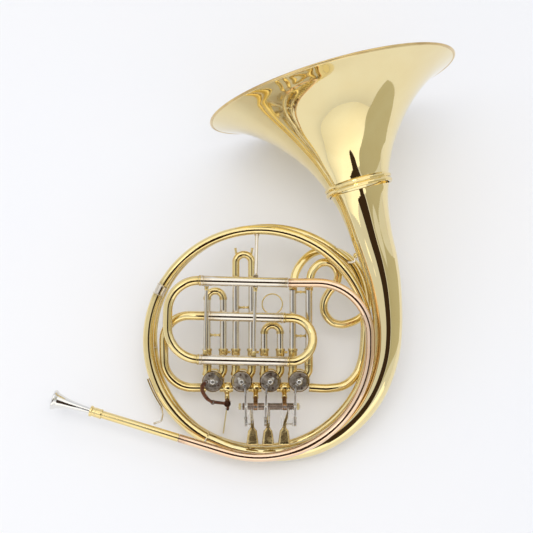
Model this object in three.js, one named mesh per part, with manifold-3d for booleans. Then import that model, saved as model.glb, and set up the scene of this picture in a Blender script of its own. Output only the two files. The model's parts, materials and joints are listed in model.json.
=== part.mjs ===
// French horn: a four-valve single horn lying on its side, levers up, on the bell rim and the body ring.
// Units are millimetres. The horn is modelled in its own body frame: x across, y towards the bell,
// z out of the ring plane towards the levers, with the origin at the middle of the body ring.
// The outer group then leans the whole horn into the attitude in which it rests on a table.
import * as THREE from "three";
import Module from "manifold-3d";
import { mergeVertices } from "three/addons/utils/BufferGeometryUtils.js";

const wasm = await Module();
wasm.setup();

// Driving dimensions
const LEAN = 17; // ring plane above the table, degrees
const ROLL = -1.7; // sideways roll of the resting horn, degrees
const GAP = 0.3; // clearance between parts that touch
const WALL = 0.8; // sheet and tube wall

const BELL_RADIUS = 155;
const FLARE_LENGTH = 122.5; // bell ring to rim
const BELL_RING = [121, 189.2, 12.5];
const BELL_HEADING = 105.3; // bell axis, seen along z
const BELL_DROP = 4.4; // bell axis below the ring plane

const RING_TUBE = 5.9; // outer turn at its start
const INNER_TUBE = 5.5; // inner turn, links and exit tube
const LEADPIPE_TUBE = 5.5;
const LEADPIPE_Z = 25; // the leadpipe and main slide lie over the ring
const SLEEVE = 6;
const SLEEVE_BORE = 5.15;
const SLIDE_LEG = 4.6;
const BOW = 5.6;
const MAIN_TURN = -1.4; // main slide against the body x axis, degrees

const ROTOR_X = [-56.4, -21.3, 13.8, 48.9];
const ROTOR_Y = -48.9;
const CASING_RADIUS = 13;
const CASING = [-18, 7.5];
const ROTOR_RADIUS = 10.4;
const LINK_Y = -57.6; // tubes that join the valves in line
const LINK_Z = -4;
const PORT_OFFSET = 2.5; // slide legs against the rotor axis
const LEG_HALF = 9.8; // half of the leg spacing
const LEG_Z = -4;
const RECEIVER_TOP = -9.5;
const RECEIVER_FOOT = -30;
const RECEIVER_TUBE = 5.5;
const RECEIVER_BORE = 4.85;
const VALVE_LEG = 4.45;
const BOW_HEIGHT = [51.5, 96.4, 9.6, 62]; // bow centres of the four valve slides

const HINGE = [-76.4, 30]; // y and z of the finger lever hinge
const HINGE_ENDS = [-22.6, 47];
const BALL = [-100.4, 10]; // y and z of the ball joints under the levers
const PIN_RADIUS = 7.2; // stop arm pins
const PIN_Z = 14.5;
const THUMB_PIVOT = [-38.5, -75.5];
const THUMB_JOINT = [-56, -73.5];
const THUMB_PIN_RADIUS = 8;

const metal = (color, roughness) => new THREE.MeshStandardMaterial({ color, roughness, metalness: 1 });
const brass = () => metal(0xd8b04a, 0.2);
const rose = () => metal(0xcf8f68, 0.2);
const nickel = () => metal(0xc9c4b8, 0.22);
const silver = () => metal(0xdadada, 0.15);
const steel = () => metal(0x8f8880, 0.35);
const bronze = () => metal(0x5a3524, 0.4);

const rad = THREE.MathUtils.degToRad;
const vec = (p) => new THREE.Vector3(p[0], p[1], p[2]);

// ---- solids -----------------------------------------------------------------------------------

// Shares the vertices of a geometry, drops slivers and turns its faces outwards.
function weld(source) {
  const bare = source.clone();
  bare.deleteAttribute("normal");
  bare.deleteAttribute("uv");
  const merged = mergeVertices(bare, 1e-4);
  const p = merged.attributes.position;
  const faces = [];
  let volume = 0;
  const [a, b, c] = [new THREE.Vector3(), new THREE.Vector3(), new THREE.Vector3()];
  for (let i = 0; i < merged.index.count; i += 3) {
    const ids = [0, 1, 2].map((k) => merged.index.getX(i + k));
    if (new Set(ids).size < 3) continue;
    [a, b, c].forEach((v, k) => v.fromBufferAttribute(p, ids[k]));
    volume += a.dot(b.cross(c));
    faces.push(ids);
  }
  merged.setIndex((volume < 0 ? faces.map(([i, j, k]) => [i, k, j]) : faces).flat());
  return merged;
}

function toSolid(geometry) {
  const g = weld(geometry);
  const mesh = new wasm.Mesh({
    numProp: 3,
    vertProperties: new Float32Array(g.attributes.position.array),
    triVerts: new Uint32Array(g.index.array),
  });
  return new wasm.Manifold(mesh);
}

function toGeometry(solid) {
  const mesh = solid.getMesh();
  const g = new THREE.BufferGeometry();
  g.setAttribute("position", new THREE.BufferAttribute(new Float32Array(mesh.vertProperties), 3));
  g.setIndex(Array.from(mesh.triVerts));
  return g;
}

const fuse = (...parts) => toGeometry(parts.map(toSolid).reduce((sum, part) => sum.add(part)));
const carve = (body, ...tools) => {
  const rest = tools.map(toSolid).reduce((solid, tool) => solid.subtract(tool), toSolid(body));
  return toGeometry(rest);
};

// ---- centrelines ------------------------------------------------------------------------------
// A centreline is a list of stations { at, along }: a point and the direction of the tube there.

// Straight runs between corners [x, y, z, bend radius], with each corner rounded to its radius.
function run(corners, step = 20) {
  const line = [];
  const push = (at, along) => {
    if (!line.length || line.at(-1).at.distanceTo(at) > 0.01) line.push({ at, along });
  };
  corners.forEach((corner, i) => {
    const here = vec(corner);
    const before = i > 0 ? vec(corners[i - 1]).sub(here).normalize() : null;
    const after = i < corners.length - 1 ? vec(corners[i + 1]).sub(here).normalize() : null;
    if (!before) return push(here, after);
    if (!after) return push(here, before.negate());
    const turn = Math.PI - before.angleTo(after);
    const start = here.clone().addScaledVector(before, corner[3] * Math.tan(turn / 2));
    const middle = before.clone().add(after).normalize();
    const centre = here.clone().addScaledVector(middle, corner[3] / Math.cos(turn / 2));
    const axis = after.clone().cross(before).normalize();
    const steps = Math.max(2, Math.ceil(THREE.MathUtils.radToDeg(turn) / step));
    for (let k = 0; k <= steps; k++) {
      const spin = (turn * k) / steps;
      const arm = start.clone().sub(centre).applyAxisAngle(axis, spin);
      push(centre.clone().add(arm), before.clone().negate().applyAxisAngle(axis, spin));
    }
  });
  return line;
}

// Part of a turn of the body ring; its centre, radius and height may drift from one end to the other.
function hoop(from, to, step = 11) {
  const steps = Math.ceil(Math.abs(to.angle - from.angle) / step);
  const point = (t) => {
    const mix = (key) => from[key] + (to[key] - from[key]) * t;
    const angle = rad(mix("angle"));
    return vec([mix("x") + mix("r") * Math.cos(angle), mix("y") + mix("r") * Math.sin(angle), mix("z")]);
  };
  return Array.from({ length: steps + 1 }, (_, k) => {
    const t = k / steps;
    return { at: point(t), along: point(t + 0.001).sub(point(t - 0.001)).normalize() };
  });
}

// A free-form bend through the given points.
function bend(points, steps) {
  const curve = new THREE.CatmullRomCurve3(points.map(vec), false, "centripetal");
  return Array.from({ length: steps + 1 }, (_, k) => ({
    at: curve.getPointAt(k / steps),
    along: curve.getTangentAt(k / steps),
  }));
}

const joined = (...lines) => lines.reduce((all, line) => all.concat(line[0].at.distanceTo(all.at(-1).at) < 0.5
  ? line.slice(1) : line));

// ---- tubes ------------------------------------------------------------------------------------

// A turned profile bent along a centreline. stages lists [distance along the tube, outer radius];
// a wall leaves the tube hollow and open at both ends.
function tube(line, stages, { sides = 8, wall = 0, bore = 0 } = {}) {
  const reach = [0];
  for (let i = 1; i < line.length; i++) reach.push(reach[i - 1] + line[i].at.distanceTo(line[i - 1].at));
  const length = reach.at(-1);
  const given = typeof stages === "number" ? [[0, stages], [length, stages]] : stages;
  const marks = given.map(([s, r]) => [Math.min(s, length), r]);
  if (marks.at(-1)[0] < length) marks.push([length, marks.at(-1)[1]]);
  const outer = [];
  marks.forEach(([s, r], i) => {
    outer.push(new THREE.Vector2(r, s));
    const next = marks[i + 1];
    if (!next) return;
    reach.filter((d) => d > s + 2.5 && d < next[0] - 2.5).forEach((d) => {
      outer.push(new THREE.Vector2(r + ((next[1] - r) * (d - s)) / (next[0] - s), d));
    });
  });
  let profile = [new THREE.Vector2(0, 0), ...outer, new THREE.Vector2(0, length)];
  if (wall > 0 || bore > 0) {
    const inner = outer.map((p) => new THREE.Vector2(bore || p.x - wall, p.y)).reverse();
    profile = [...outer, ...inner, outer[0]];
  }
  const geometry = new THREE.LatheGeometry(profile, sides);

  // Frames carried along the centreline without twist
  const frames = [];
  line.forEach(({ at, along }, i) => {
    const side = i ? frames[i - 1].side.clone() : new THREE.Vector3(0, 0, 1);
    if (!i && Math.abs(along.z) > 0.9) side.set(1, 0, 0);
    side.addScaledVector(along, -side.dot(along)).normalize();
    frames.push({ at, along, side });
  });
  const p = geometry.attributes.position;
  for (let i = 0; i < p.count; i++) {
    const s = p.getY(i);
    let k = reach.findIndex((d) => d >= s - 1e-4);
    k = k < 0 ? line.length - 1 : Math.max(k, 1);
    const t = THREE.MathUtils.clamp((s - reach[k - 1]) / (reach[k] - reach[k - 1]), 0, 1);
    const at = frames[k - 1].at.clone().lerp(frames[k].at, t);
    const along = frames[k - 1].along.clone().lerp(frames[k].along, t).normalize();
    const side = frames[k - 1].side.clone().lerp(frames[k].side, t);
    side.addScaledVector(along, -side.dot(along)).normalize();
    const third = side.clone().cross(along);
    at.addScaledVector(side, p.getX(i)).addScaledVector(third, p.getZ(i));
    p.setXYZ(i, at.x, at.y, at.z);
  }
  return weld(geometry);
}

const rod = (from, to, radius, options) => tube(run([from, to]), radius, options);

// An upright turned piece about the z axis through (x, y); profile lists [radius, z].
function turned(x, y, profile, sides = 14) {
  const g = new THREE.LatheGeometry(profile.map(([r, z]) => new THREE.Vector2(r, z)), sides);
  return weld(g.rotateX(Math.PI / 2).translate(x, y, 0));
}

function block(x, y, z, [w, d, h], spin = 0) {
  return new THREE.BoxGeometry(w, d, h).rotateZ(spin).translate(x, y, z);
}

// A flat plate: the outline [x, y] extruded from z to z + thickness.
function plate(outline, z, thickness) {
  const shape = new THREE.Shape(outline.map(([x, y]) => new THREE.Vector2(x, y)));
  return new THREE.ExtrudeGeometry(shape, { depth: thickness, bevelEnabled: false }).translate(0, 0, z);
}

// Thickens a turned profile [radius, height] inwards by the wall, square to the sheet.
function shell(profile, wall) {
  const pts = profile.map(([r, h]) => new THREE.Vector2(r, h));
  const inner = pts.map((p, i) => {
    const a = pts[Math.max(i - 1, 0)];
    const b = pts[Math.min(i + 1, pts.length - 1)];
    const along = b.clone().sub(a).normalize();
    return new THREE.Vector2(p.x - along.y * wall, p.y + along.x * wall);
  });
  return [...pts, ...inner.reverse(), pts[0]];
}

const horn = new THREE.Group();
horn.rotation.set(rad(LEAN), rad(ROLL), 0, "YXZ");

function add(name, geometry, material, parent = horn) {
  const mesh = new THREE.Mesh(geometry, material);
  mesh.name = name;
  parent.add(mesh);
  return mesh;
}

// ---- bell -------------------------------------------------------------------------------------

const bell = new THREE.Group();
bell.position.set(...BELL_RING);
bell.rotation.set(0, 0, rad(BELL_HEADING - 90));
const bellAxis = new THREE.Group();
bellAxis.rotation.set(rad(-BELL_DROP), 0, 0);
bell.add(bellAxis);
horn.add(bell);

const L = FLARE_LENGTH;
const flare = [
  [38.2, 1], [40.9, 9], [45.6, 20], [55, 38], [68, 56.5], [86, 77.5], [107, 96], [128, 109.2],
  [BELL_RADIUS - 3, L - 3.4],
];
const rim = [[BELL_RADIUS - 0.6, L - 2.8], [BELL_RADIUS, L - 1.4], [BELL_RADIUS - 2.6, L]];
const flareShell = shell(flare, WALL);
const flareProfile = [
  ...flareShell.slice(0, flare.length),
  ...rim.map(([r, h]) => new THREE.Vector2(r, h)),
  ...flareShell.slice(flare.length),
];
add("bell_flare", weld(new THREE.LatheGeometry(flareProfile, 30)), brass(), bellAxis);

const collar = (low, high, bore) => weld(new THREE.LatheGeometry([
  [bore, low], [40.6, low], [41.6, (low + high) / 2], [40.6, high], [bore, high], [bore, low],
].map(([r, h]) => new THREE.Vector2(r, h)), 30));
add("bell_ring_upper", collar(0.35, 5.4, 40.1), brass(), bellAxis);
add("bell_ring_lower", collar(-5.4, -0.15, 37.4), brass(), bellAxis);

// Bell tail: radius against the distance from the bell ring
const tailTaper = [
  [0, 36.4], [10, 33], [24, 29.6], [40, 27], [60, 24.9], [90, 22.7], [126, 19.9], [178, 17.2],
  [262, 15], [305, 13.4], [385, 9.9], [455, 8], [520, 7.4],
];
const tailLine = bend([
  [122.5, 183.6, 12.9], [136, 132, 13], [146, 98, 12], [153, 65, 11], [157, 14, 9.5], [153, -24, 9],
  [137, -66, 8], [110.4, -99.4, 7], [76, -123.5, 6], [42, -134.5, 5.4], [5, -137, 4.8], [-32, -131.2, 4.4],
  [-63.6, -118.6, 4],
], 26);
add("bell_tail", tube(tailLine, tailTaper, { sides: 14, wall: WALL }), brass());

// ---- body ring --------------------------------------------------------------------------------

const OUTER = { x: 0, y: 1, r: 135.5 };
const INNER = { x: 3, y: 3.5, r: 134.5 };
const INNER_LOW = { x: 1, y: 0.6, r: 134.5 };
const frontTurn = hoop({ ...OUTER, z: 3, angle: 12.3 }, { ...OUTER, z: 3.5, angle: 150 });
add("ring_outer_upper", tube(frontTurn, RING_TUBE),
  brass());
const lowerTurn = hoop({ ...OUTER, z: 3.5, angle: 150.2 }, { ...OUTER, z: 4, angle: 241.3 });
add("ring_outer_lower", tube(lowerTurn, [[0, 7], [13, 7], [13.2, 6.3], [218, 7.4]]), brass());

add("exit_tube", tube(bend([
  [61.4, LINK_Y, LINK_Z], [86, -58.6, -5.4], [105.6, -55, -8], [120.4, -42.5, -12.4], [127.8, -24, -15],
  [130.8, 0, -14.6],
  [131.5, 25, -13.4], [129.8, 50, -13], [123.5, 76, -12.5], [113, 94.5, -12], [93, 111, -12],
], 22), INNER_TUBE), brass());
add("ring_inner_upper", tube(joined(
  hoop({ ...INNER, r: 140.2, z: -12, angle: 50.4 }, { ...INNER, z: -12, angle: 95 }),
  hoop({ ...INNER, z: -12, angle: 95 }, { ...INNER, z: -12, angle: 185 }),
), INNER_TUBE), brass());
add("ring_inner_lower", tube(joined(
  hoop({ ...INNER, z: -12, angle: 185.2 }, { ...INNER_LOW, z: -12, angle: 235 }),
  hoop({ ...INNER_LOW, z: -12, angle: 235 }, { ...INNER_LOW, z: -12, angle: 285 }),
  hoop({ ...INNER_LOW, z: -12, angle: 285 }, { ...INNER, x: 1.5, y: 2, z: -4.4, angle: 330 }),
  hoop({ ...INNER, x: 1.5, y: 2, z: -4.4, angle: 330 }, { ...OUTER, x: 1, z: -3.4, angle: 345 }),
  hoop({ ...OUTER, x: 1, z: -3.4, angle: 345 }, { ...OUTER, z: 3, angle: 372 }),
), [[0, INNER_TUBE], [400, INNER_TUBE], [450, 5.7]]), brass());

// ---- leadpipe and mouthpiece --------------------------------------------------------------------

const PIPE_START = [-199, -84.2, 21];
const PIPE_HEADING = Math.atan2(-0.3, 1);
const leadArc = { x: 0, y: -4, r: 134.4, z: LEADPIPE_Z };
const leadBend = hoop({ ...leadArc, angle: -107 }, { ...leadArc, angle: 0 });
const pipeFoot = leadBend[0].at.toArray();
const seam = 0.64; // share of the straight part that is yellow brass
const seamAt = PIPE_START.map((v, k) => v + (pipeFoot[k] - v) * seam);
const seamNext = PIPE_START.map((v, k) => v + (pipeFoot[k] - v) * (seam + 0.003));
add("leadpipe_inlet", tube(run([PIPE_START, seamAt]), [[0, 4.7], [120, 5]], { wall: WALL }), brass());
add("leadpipe", tube(joined(
  run([seamNext, pipeFoot]), leadBend,
  run([[134.4, 6.6, LEADPIPE_Z], [134.4, 71.8, LEADPIPE_Z, 64.5], [35.4, 71.8, LEADPIPE_Z]], 12),
), [[0, 5.1], [150, LEADPIPE_TUBE], [600, LEADPIPE_TUBE]]), rose());

// Everything that follows the straight end of the leadpipe lies along +x of this group.
const inlet = new THREE.Group();
inlet.position.set(...PIPE_START);
const inletAim = vec(PIPE_START).sub(vec(pipeFoot)).normalize();
inlet.quaternion.setFromUnitVectors(new THREE.Vector3(0, 1, 0), inletAim);
horn.add(inlet);
const spun = (profile, sides) => {
  const outline = profile.map(([r, h]) => new THREE.Vector2(r, h));
  return weld(new THREE.LatheGeometry(outline, sides));
};
add("mouthpiece_receiver", spun([
  [5.1, -10], [6.1, -10], [6.1, -2], [5.6, -0.5], [5.6, 1.5], [6.7, 2.5], [6.7, 5], [4.8, 5],
  [4.5, 0.4], [5.1, 0.4],
  [5.1, -10],
], 16), brass(), inlet);
add("mouthpiece", spun([
  [1.6, -13], [3, -13], [3.5, 2], [4.3, 14], [5, 24], [6.8, 36], [9.6, 46], [11.3, 48.5], [12.2, 50.5],
  [11.6, 52],
  [9.6, 51.8], [8, 46], [4.6, 34], [2, 24], [1.6, -13],
], 16), silver(), inlet);

// ---- main slide ---------------------------------------------------------------------------------

const main = new THREE.Group();
main.position.set(-20, 0, 0);
main.rotation.z = rad(MAIN_TURN);
horn.add(main);
const UPPER = 73.3;
const LOWER = -21.6;
const MIDDLE = 30.3;
const MIDDLE_Z = 13;
const MAIN_Z = LEADPIPE_Z;
const sleeveStages = [[0, SLEEVE + 0.5], [2.5, SLEEVE + 0.5], [2.7, SLEEVE]];
const sleeve = (from, to) => tube(run([from, to]), sleeveStages, { bore: SLEEVE_BORE, sides: 14 });
add("upper_sleeve", sleeve([-51, UPPER, MAIN_Z], [53, UPPER, MAIN_Z]), nickel(), main);
add("lower_sleeve", sleeve([-51, LOWER, MAIN_Z], [54.4, LOWER, MAIN_Z]), nickel(), main);
add("inner_sleeve", sleeve([48.5, MIDDLE, MIDDLE_Z], [-42, MIDDLE, MIDDLE_Z]), nickel(), main);

// A slide: brass outside its sleeves, thinner legs of the given reach inside them.
function slideBow(line, legIn, legOut) {
  let length = 0;
  for (let i = 1; i < line.length; i++) length += line[i].at.distanceTo(line[i - 1].at);
  return tube(line, [
    [0, SLIDE_LEG], [legIn, SLIDE_LEG],
    [legIn + 0.2, SLEEVE + 0.5], [legIn + 2.6, SLEEVE + 0.5], [legIn + 3, BOW],
    [length - legOut - 3, BOW], [length - legOut - 2.6, SLEEVE + 0.5], [length - legOut - 0.2, SLEEVE + 0.5],
    [length - legOut, SLIDE_LEG], [length, SLIDE_LEG],
  ], { sides: 12 });
}
add("main_slide", slideBow(run([
  [-6, UPPER, MAIN_Z], [-90.5, UPPER, MAIN_Z, 37], [-90.5, LOWER, MAIN_Z, 39], [-6, LOWER, MAIN_Z],
]), 45.3, 45.3), brass(), main);
add("second_slide", slideBow(joined(
  run([[14, LOWER, MAIN_Z], [59, LOWER, MAIN_Z]]),
  Array.from({ length: 12 }, (_, k) => {
    const a = rad(-90 + (180 * k) / 11);
    const r = (MIDDLE - LOWER) / 2;
    const rise = MAIN_Z + ((MIDDLE_Z - MAIN_Z) * (1 + Math.sin(a))) / 2;
    const along = vec([-Math.sin(a), Math.cos(a), ((MIDDLE_Z - MAIN_Z) * Math.cos(a)) / 2 / r]).normalize();
    return { at: vec([59 + r * Math.cos(a), LOWER + r + r * Math.sin(a), rise]), along };
  }),
  run([[58.8, MIDDLE, MIDDLE_Z], [14, MIDDLE, MIDDLE_Z]]),
), 40.7, 34.8), brass(), main);

add("s_tube", tube(run([
  [-62.6, 31.5, MIDDLE_Z], [-80, 31.8, MIDDLE_Z, 60], [-116.6, 31.8, 6, 33], [-116.6, -57.4, LINK_Z, 35],
  [ROTOR_X[0] - CASING_RADIUS - 2.4, LINK_Y, LINK_Z],
], 15), BOW), brass());

// Braces between the sleeves, and from the upper sleeve to the ring
[["strut_left", -44.6], ["strut_right", 14.2]].forEach(([name, x]) => {
  const top = UPPER - SLEEVE - 0.5;
  const foot = LOWER + SLEEVE + 0.5;
  add(name, fuse(
    rod([x, foot, MAIN_Z], [x, top, MAIN_Z], 2.2, { sides: 8 }),
    tube(run([[x, foot, MAIN_Z], [x, foot + 4, MAIN_Z]]), [[0, 3.3], [4, 2]], { sides: 4 }),
    tube(run([[x, top - 4, MAIN_Z], [x, top, MAIN_Z]]), [[0, 2], [4, 3.3]], { sides: 4 }),
  ), nickel(), main);
});
add("top_brace", tube(run([[-2.5, 136.5 - RING_TUBE - 0.6, 4], [-3.8, 72.9 + SLEEVE + 0.8, MAIN_Z - 1]]),
  [[0, 3.2], [2.5, 2.1], [53, 2.1], [56, 3.2]], { sides: 8 }), nickel());

// ---- valves ---------------------------------------------------------------------------------------

ROTOR_X.forEach((x, i) => {
  const n = i + 1;
  const c = x + PORT_OFFSET;
  const knuckle = (side) => tube(run([
    [c + side * LEG_HALF, RECEIVER_FOOT - GAP, LEG_Z], [c + side * LEG_HALF, -37, LEG_Z, 7],
    [x + side * 8.6, ROTOR_Y + 6, LEG_Z],
  ], 30), RECEIVER_TUBE);
  const linkEnd = i < 3 ? ROTOR_X[n] - CASING_RADIUS + 2.6 - GAP : x + 11;
  const cavity = turned(x, ROTOR_Y, [[0, CASING[0] - 1], [ROTOR_RADIUS + 0.4, CASING[0] - 1],
    [ROTOR_RADIUS + 0.4, CASING[1] + 1], [0, CASING[1] + 1]], 18);
  const outside = turned(x, ROTOR_Y, [[0, CASING[0]], [CASING_RADIUS, CASING[0]], [CASING_RADIUS, CASING[1]],
    [0, CASING[1]]], 18);
  const link = rod([x + 7, LINK_Y, LINK_Z], [linkEnd, LINK_Y, LINK_Z], INNER_TUBE);
  const pieces = [outside, knuckle(-1), knuckle(1), link];
  if (i === 0) pieces.push(rod([x - CASING_RADIUS - 2, LINK_Y, LINK_Z], [x - 7, LINK_Y, LINK_Z], INNER_TUBE));
  const next = i < 3 ? [turned(ROTOR_X[n], ROTOR_Y, [[0, CASING[0] - 1], [CASING_RADIUS + GAP, CASING[0] - 1],
    [CASING_RADIUS + GAP, CASING[1] + 1], [0, CASING[1] + 1]], 18)] : [];
  add(`valve_${n}_casing`, carve(fuse(...pieces), cavity, ...next), brass());

  const plateFoot = CASING[1] + GAP;
  const plateOutline = [[2.9, plateFoot], [11.9, plateFoot], [11.9, 9.2], [10.6, 10.3], [2.9, 10.3],
    [2.9, plateFoot]];
  add(`valve_${n}_plate`, turned(x, ROTOR_Y, plateOutline, 16), nickel());
  const capTop = CASING[0] - GAP;
  const capOutline = [[0, -24], [12.2, -24], [13.4, -23], [13.4, -19], [CASING_RADIUS, capTop], [0, capTop]];
  add(`valve_${n}_cap`, turned(x, ROTOR_Y, capOutline, 16), brass());

  // Rotor with its two passages, its spindle and the stop arm that carries the pin
  const rest = [180, -50, 230, 230][i];
  const reach = i === 0 ? THUMB_PIN_RADIUS : PIN_RADIUS;
  const pin = [x + reach * Math.cos(rad(rest)), ROTOR_Y + reach * Math.sin(rad(rest))];
  const passage = (side) => {
    const y = ROTOR_Y + side * 7.4;
    return rod([x - 14, y, LINK_Z], [x + 14, y, LINK_Z], 4.4, { sides: 6 });
  };
  const coreFoot = CASING[0] + GAP;
  const coreOutline = [[0, coreFoot], [ROTOR_RADIUS, coreFoot], [ROTOR_RADIUS, 7], [2.5, 7], [2.5, 10.8],
    [4.4, 10.8], [4.4, 13.4], [0, 14]];
  const core = carve(turned(x, ROTOR_Y, coreOutline, 16), passage(1), passage(-1));
  const arm = block((x + pin[0]) / 2, (ROTOR_Y + pin[1]) / 2, 11.9, [reach, 3.4, 2.2], rad(rest));
  const post = turned(pin[0], pin[1], [[0, 10.8], [2.3, 10.8], [2.3, 13], [0, 13]], 10);
  add(`valve_${n}_rotor`, fuse(core, arm, post), steel());
});

// Valve slides: the fixed receivers joined by their bridge, then the sliding legs and bow
ROTOR_X.forEach((x, i) => {
  const n = i + 1;
  const c = x + PORT_OFFSET;
  const mouth = [[0, RECEIVER_TUBE], [RECEIVER_TOP - RECEIVER_FOOT - 2.5, RECEIVER_TUBE],
    [RECEIVER_TOP - RECEIVER_FOOT - 2.4, RECEIVER_TUBE + 0.5]];
  const receiver = (side) => {
    const rx = c + side * LEG_HALF;
    const upright = run([[rx, RECEIVER_FOOT, LEG_Z], [rx, RECEIVER_TOP, LEG_Z]]);
    return toSolid(tube(upright, mouth, { bore: RECEIVER_BORE, sides: 10 }));
  };
  const bridgeEnds = [-1, 1].map((side) => [c + side * (LEG_HALF - 5), -22, LEG_Z]);
  const bridge = toSolid(rod(...bridgeEnds, 1.8, { sides: 6 }));
  let solid = receiver(-1).add(receiver(1)).add(bridge);
  if (i < 3) {
    // Short stay that reaches across to the next valve's receivers
    const from = c + LEG_HALF + 5;
    const to = ROTOR_X[n] + PORT_OFFSET - LEG_HALF - RECEIVER_TUBE - 0.5 - GAP;
    solid = solid.add(toSolid(rod([from, -14, LEG_Z], [to, -14, LEG_Z], 1.7, { sides: 6 })));
  }
  add(`slide_${n}_receivers`, toGeometry(solid), brass());

  const left = c - LEG_HALF;
  const right = c + LEG_HALF;
  const foot = RECEIVER_FOOT + 3;
  const height = BOW_HEIGHT[i];
  if (i < 3) {
    const legs = run([
      [left, foot, LEG_Z],
      [left, height + LEG_HALF, LEG_Z, LEG_HALF],
      [right, height + LEG_HALF, LEG_Z, LEG_HALF],
      [right, foot, LEG_Z],
    ], 20);
    const parts = [tube(legs, VALVE_LEG, { sides: 10 })];
    if (i !== 2) {
      const braceY = [7, 41][i];
      parts.push(rod([left + 3, braceY, LEG_Z], [right - 3, braceY, LEG_Z], 1.7, { sides: 6 }));
    }
    if (i === 1) {
      [-8.8, 8.8].forEach((dx) => parts.push(rod([c + dx, height + LEG_HALF - 3, LEG_Z],
        [c + dx * 1.18, height + LEG_HALF + 8, LEG_Z], 1.5, { sides: 6 })));
    }
    if (i === 2) {
      const pull = new THREE.TorusGeometry(12.4, 0.9, 5, 18).translate(c, height + LEG_HALF + 25.8, LEG_Z);
      const top = height + LEG_HALF;
      parts.push(pull, rod([c, top + 2, LEG_Z], [c, top + 13.6, LEG_Z], 1.5, { sides: 6 }));
    }
    add(`slide_${n}`, fuse(...parts), nickel());
  } else {
    const loop = bend([
      [left, height, LEG_Z], [left + 3, 82, -8], [53.2, 97, -14], [66.8, 108, -21], [81.6, 111.8, -25.5],
      [97, 110, -27], [112, 102, -27], [126, 87, -27], [134, 69, -27], [137, 51, -27], [134, 36, -27],
      [126, 27, -26.5], [115, 21.4, -25], [102.7, 19, -23], [90.3, 22.7, -20.5], [81.6, 33.8, -18],
      [80.4, 46.2, -16], [86.6, 59.8, -14], [95.3, 70, -12.5], [97.7, 82.1, -11], [92.8, 92, -10],
      [84.1, 96.6, -9], [74, 94.5, -7.5], [65, 84, -5.5], [right, height, LEG_Z],
    ], 46);
    const body = fuse(
      tube(run([[left, foot, LEG_Z], [left, height, LEG_Z]]), VALVE_LEG, { sides: 10 }),
      tube(loop, 5.2, { sides: 8 }),
      tube(run([[right, height, LEG_Z], [right, foot, LEG_Z]]), VALVE_LEG, { sides: 10 }),
      rod([left + 3, 6, LEG_Z], [right - 3, 6, LEG_Z], 1.7, { sides: 6 }),
      rod([left + 3, 60, LEG_Z], [right - 3, 60, LEG_Z], 1.7, { sides: 6 }),
    );
    add("extension_loop", body, brass());
  }
});

// ---- finger levers ----------------------------------------------------------------------------------

const [hy, hz] = HINGE;
const hingeRod = rod([HINGE_ENDS[0], hy, hz], [HINGE_ENDS[1], hy, hz], 1.5, { sides: 8 });
const hingeEnds = HINGE_ENDS.map((x) => block(x, hy, hz, [3, 7, 7]));
const hingePost = (x) => fuse(
  tube(
    run([[x, LINK_Y - 4.2, LINK_Z + 5.6], [x, -66, 8, 12], [x, hy, hz]], 20),
    [[0, 3.6], [4, 3], [40, 2.8]],
    { sides: 8 },
  ),
  rod([x - 2.6, hy, hz], [x + 2.6, hy, hz], 4.5, { sides: 12 }),
);
const hingePosts = [-4, 31].map(hingePost);
const spacers = [[-19.6, -17.2], [-0.8, 6.4]].map(([a, b]) => (
  rod([a, hy, hz], [b, hy, hz], 4.1, { sides: 12 })
));
add("lever_bracket", fuse(hingeRod, ...hingeEnds, ...hingePosts, ...spacers), brass());

const LEVERS = [
  { barrel: [-13.4, -7], arm: -8.8, paddle: -7.7, rod: -15.8 },
  { barrel: [10.8, 28], arm: 12.2, paddle: 11, rod: 7.9 },
  { barrel: [34, 41.8], arm: 35.6, paddle: 30.4, rod: 43.9 },
];
const [by, bz] = BALL;
LEVERS.forEach((lever, i) => {
  const n = i + 1;
  const barrel = rod([lever.barrel[0], hy, hz], [lever.barrel[1], hy, hz], 4.2, { sides: 12 });
  const bore = rod([lever.barrel[0] - 2, hy, hz], [lever.barrel[1] + 2, hy, hz], 2.1, { sides: 12 });
  const shank = plate([[lever.arm - 1.3, hy - 2], [lever.arm + 1.3, hy - 2], [lever.paddle + 2, -103],
    [lever.paddle - 2, -103]], hz - 3.2, 2.4);
  const touch = plate([[lever.paddle - 2.4, -101.5], [lever.paddle + 2.4, -101.5], [lever.paddle + 5.4, -106],
    [lever.paddle + 7.2, -121.6], [lever.paddle + 5.8, -123.4], [lever.paddle - 5.8, -123.4],
    [lever.paddle - 7.2, -121.6], [lever.paddle - 5.4, -106]], hz - 3.2, 2.6);
  const toRod = Math.sign(lever.rod - lever.paddle);
  const hanger = plate([[by - 3, hz - 1], [by - 2, bz - 2], [by + 2, bz - 2], [by + 3, hz - 1]], 0, 2)
    .rotateY(Math.PI / 2).rotateX(Math.PI / 2).translate(lever.paddle - 1, 0, 0);
  const cross = rod([lever.paddle, by, bz], [lever.rod - toRod * 1.9, by, bz], 1.3, { sides: 8 });
  add(`lever_${n}`, fuse(carve(fuse(barrel, shank), bore), touch, hanger, cross), brass());

  // Push rod: a small eye on the lever's ball joint, a rod, and an eye that stands over the stop arm pin
  const eye = rod([lever.rod - 1.4, by, bz], [lever.rod + 1.4, by, bz], 2.6, { sides: 10 });
  const angle = rad([-50, 230, 230][i]);
  const pinX = ROTOR_X[n] + PIN_RADIUS * Math.cos(angle);
  const pinY = ROTOR_Y + PIN_RADIUS * Math.sin(angle);
  const stem = rod([lever.rod, by + 1.5, bz], [pinX, pinY, PIN_Z + 1.2], 1.2, { sides: 8 });
  const head = turned(pinX, pinY, [[0, PIN_Z], [2.6, PIN_Z], [2.6, PIN_Z + 2.6], [0, PIN_Z + 2.6]], 10);
  add(`rod_${n}`, fuse(eye, stem, head), steel());
});

// ---- thumb lever --------------------------------------------------------------------------------------

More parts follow.
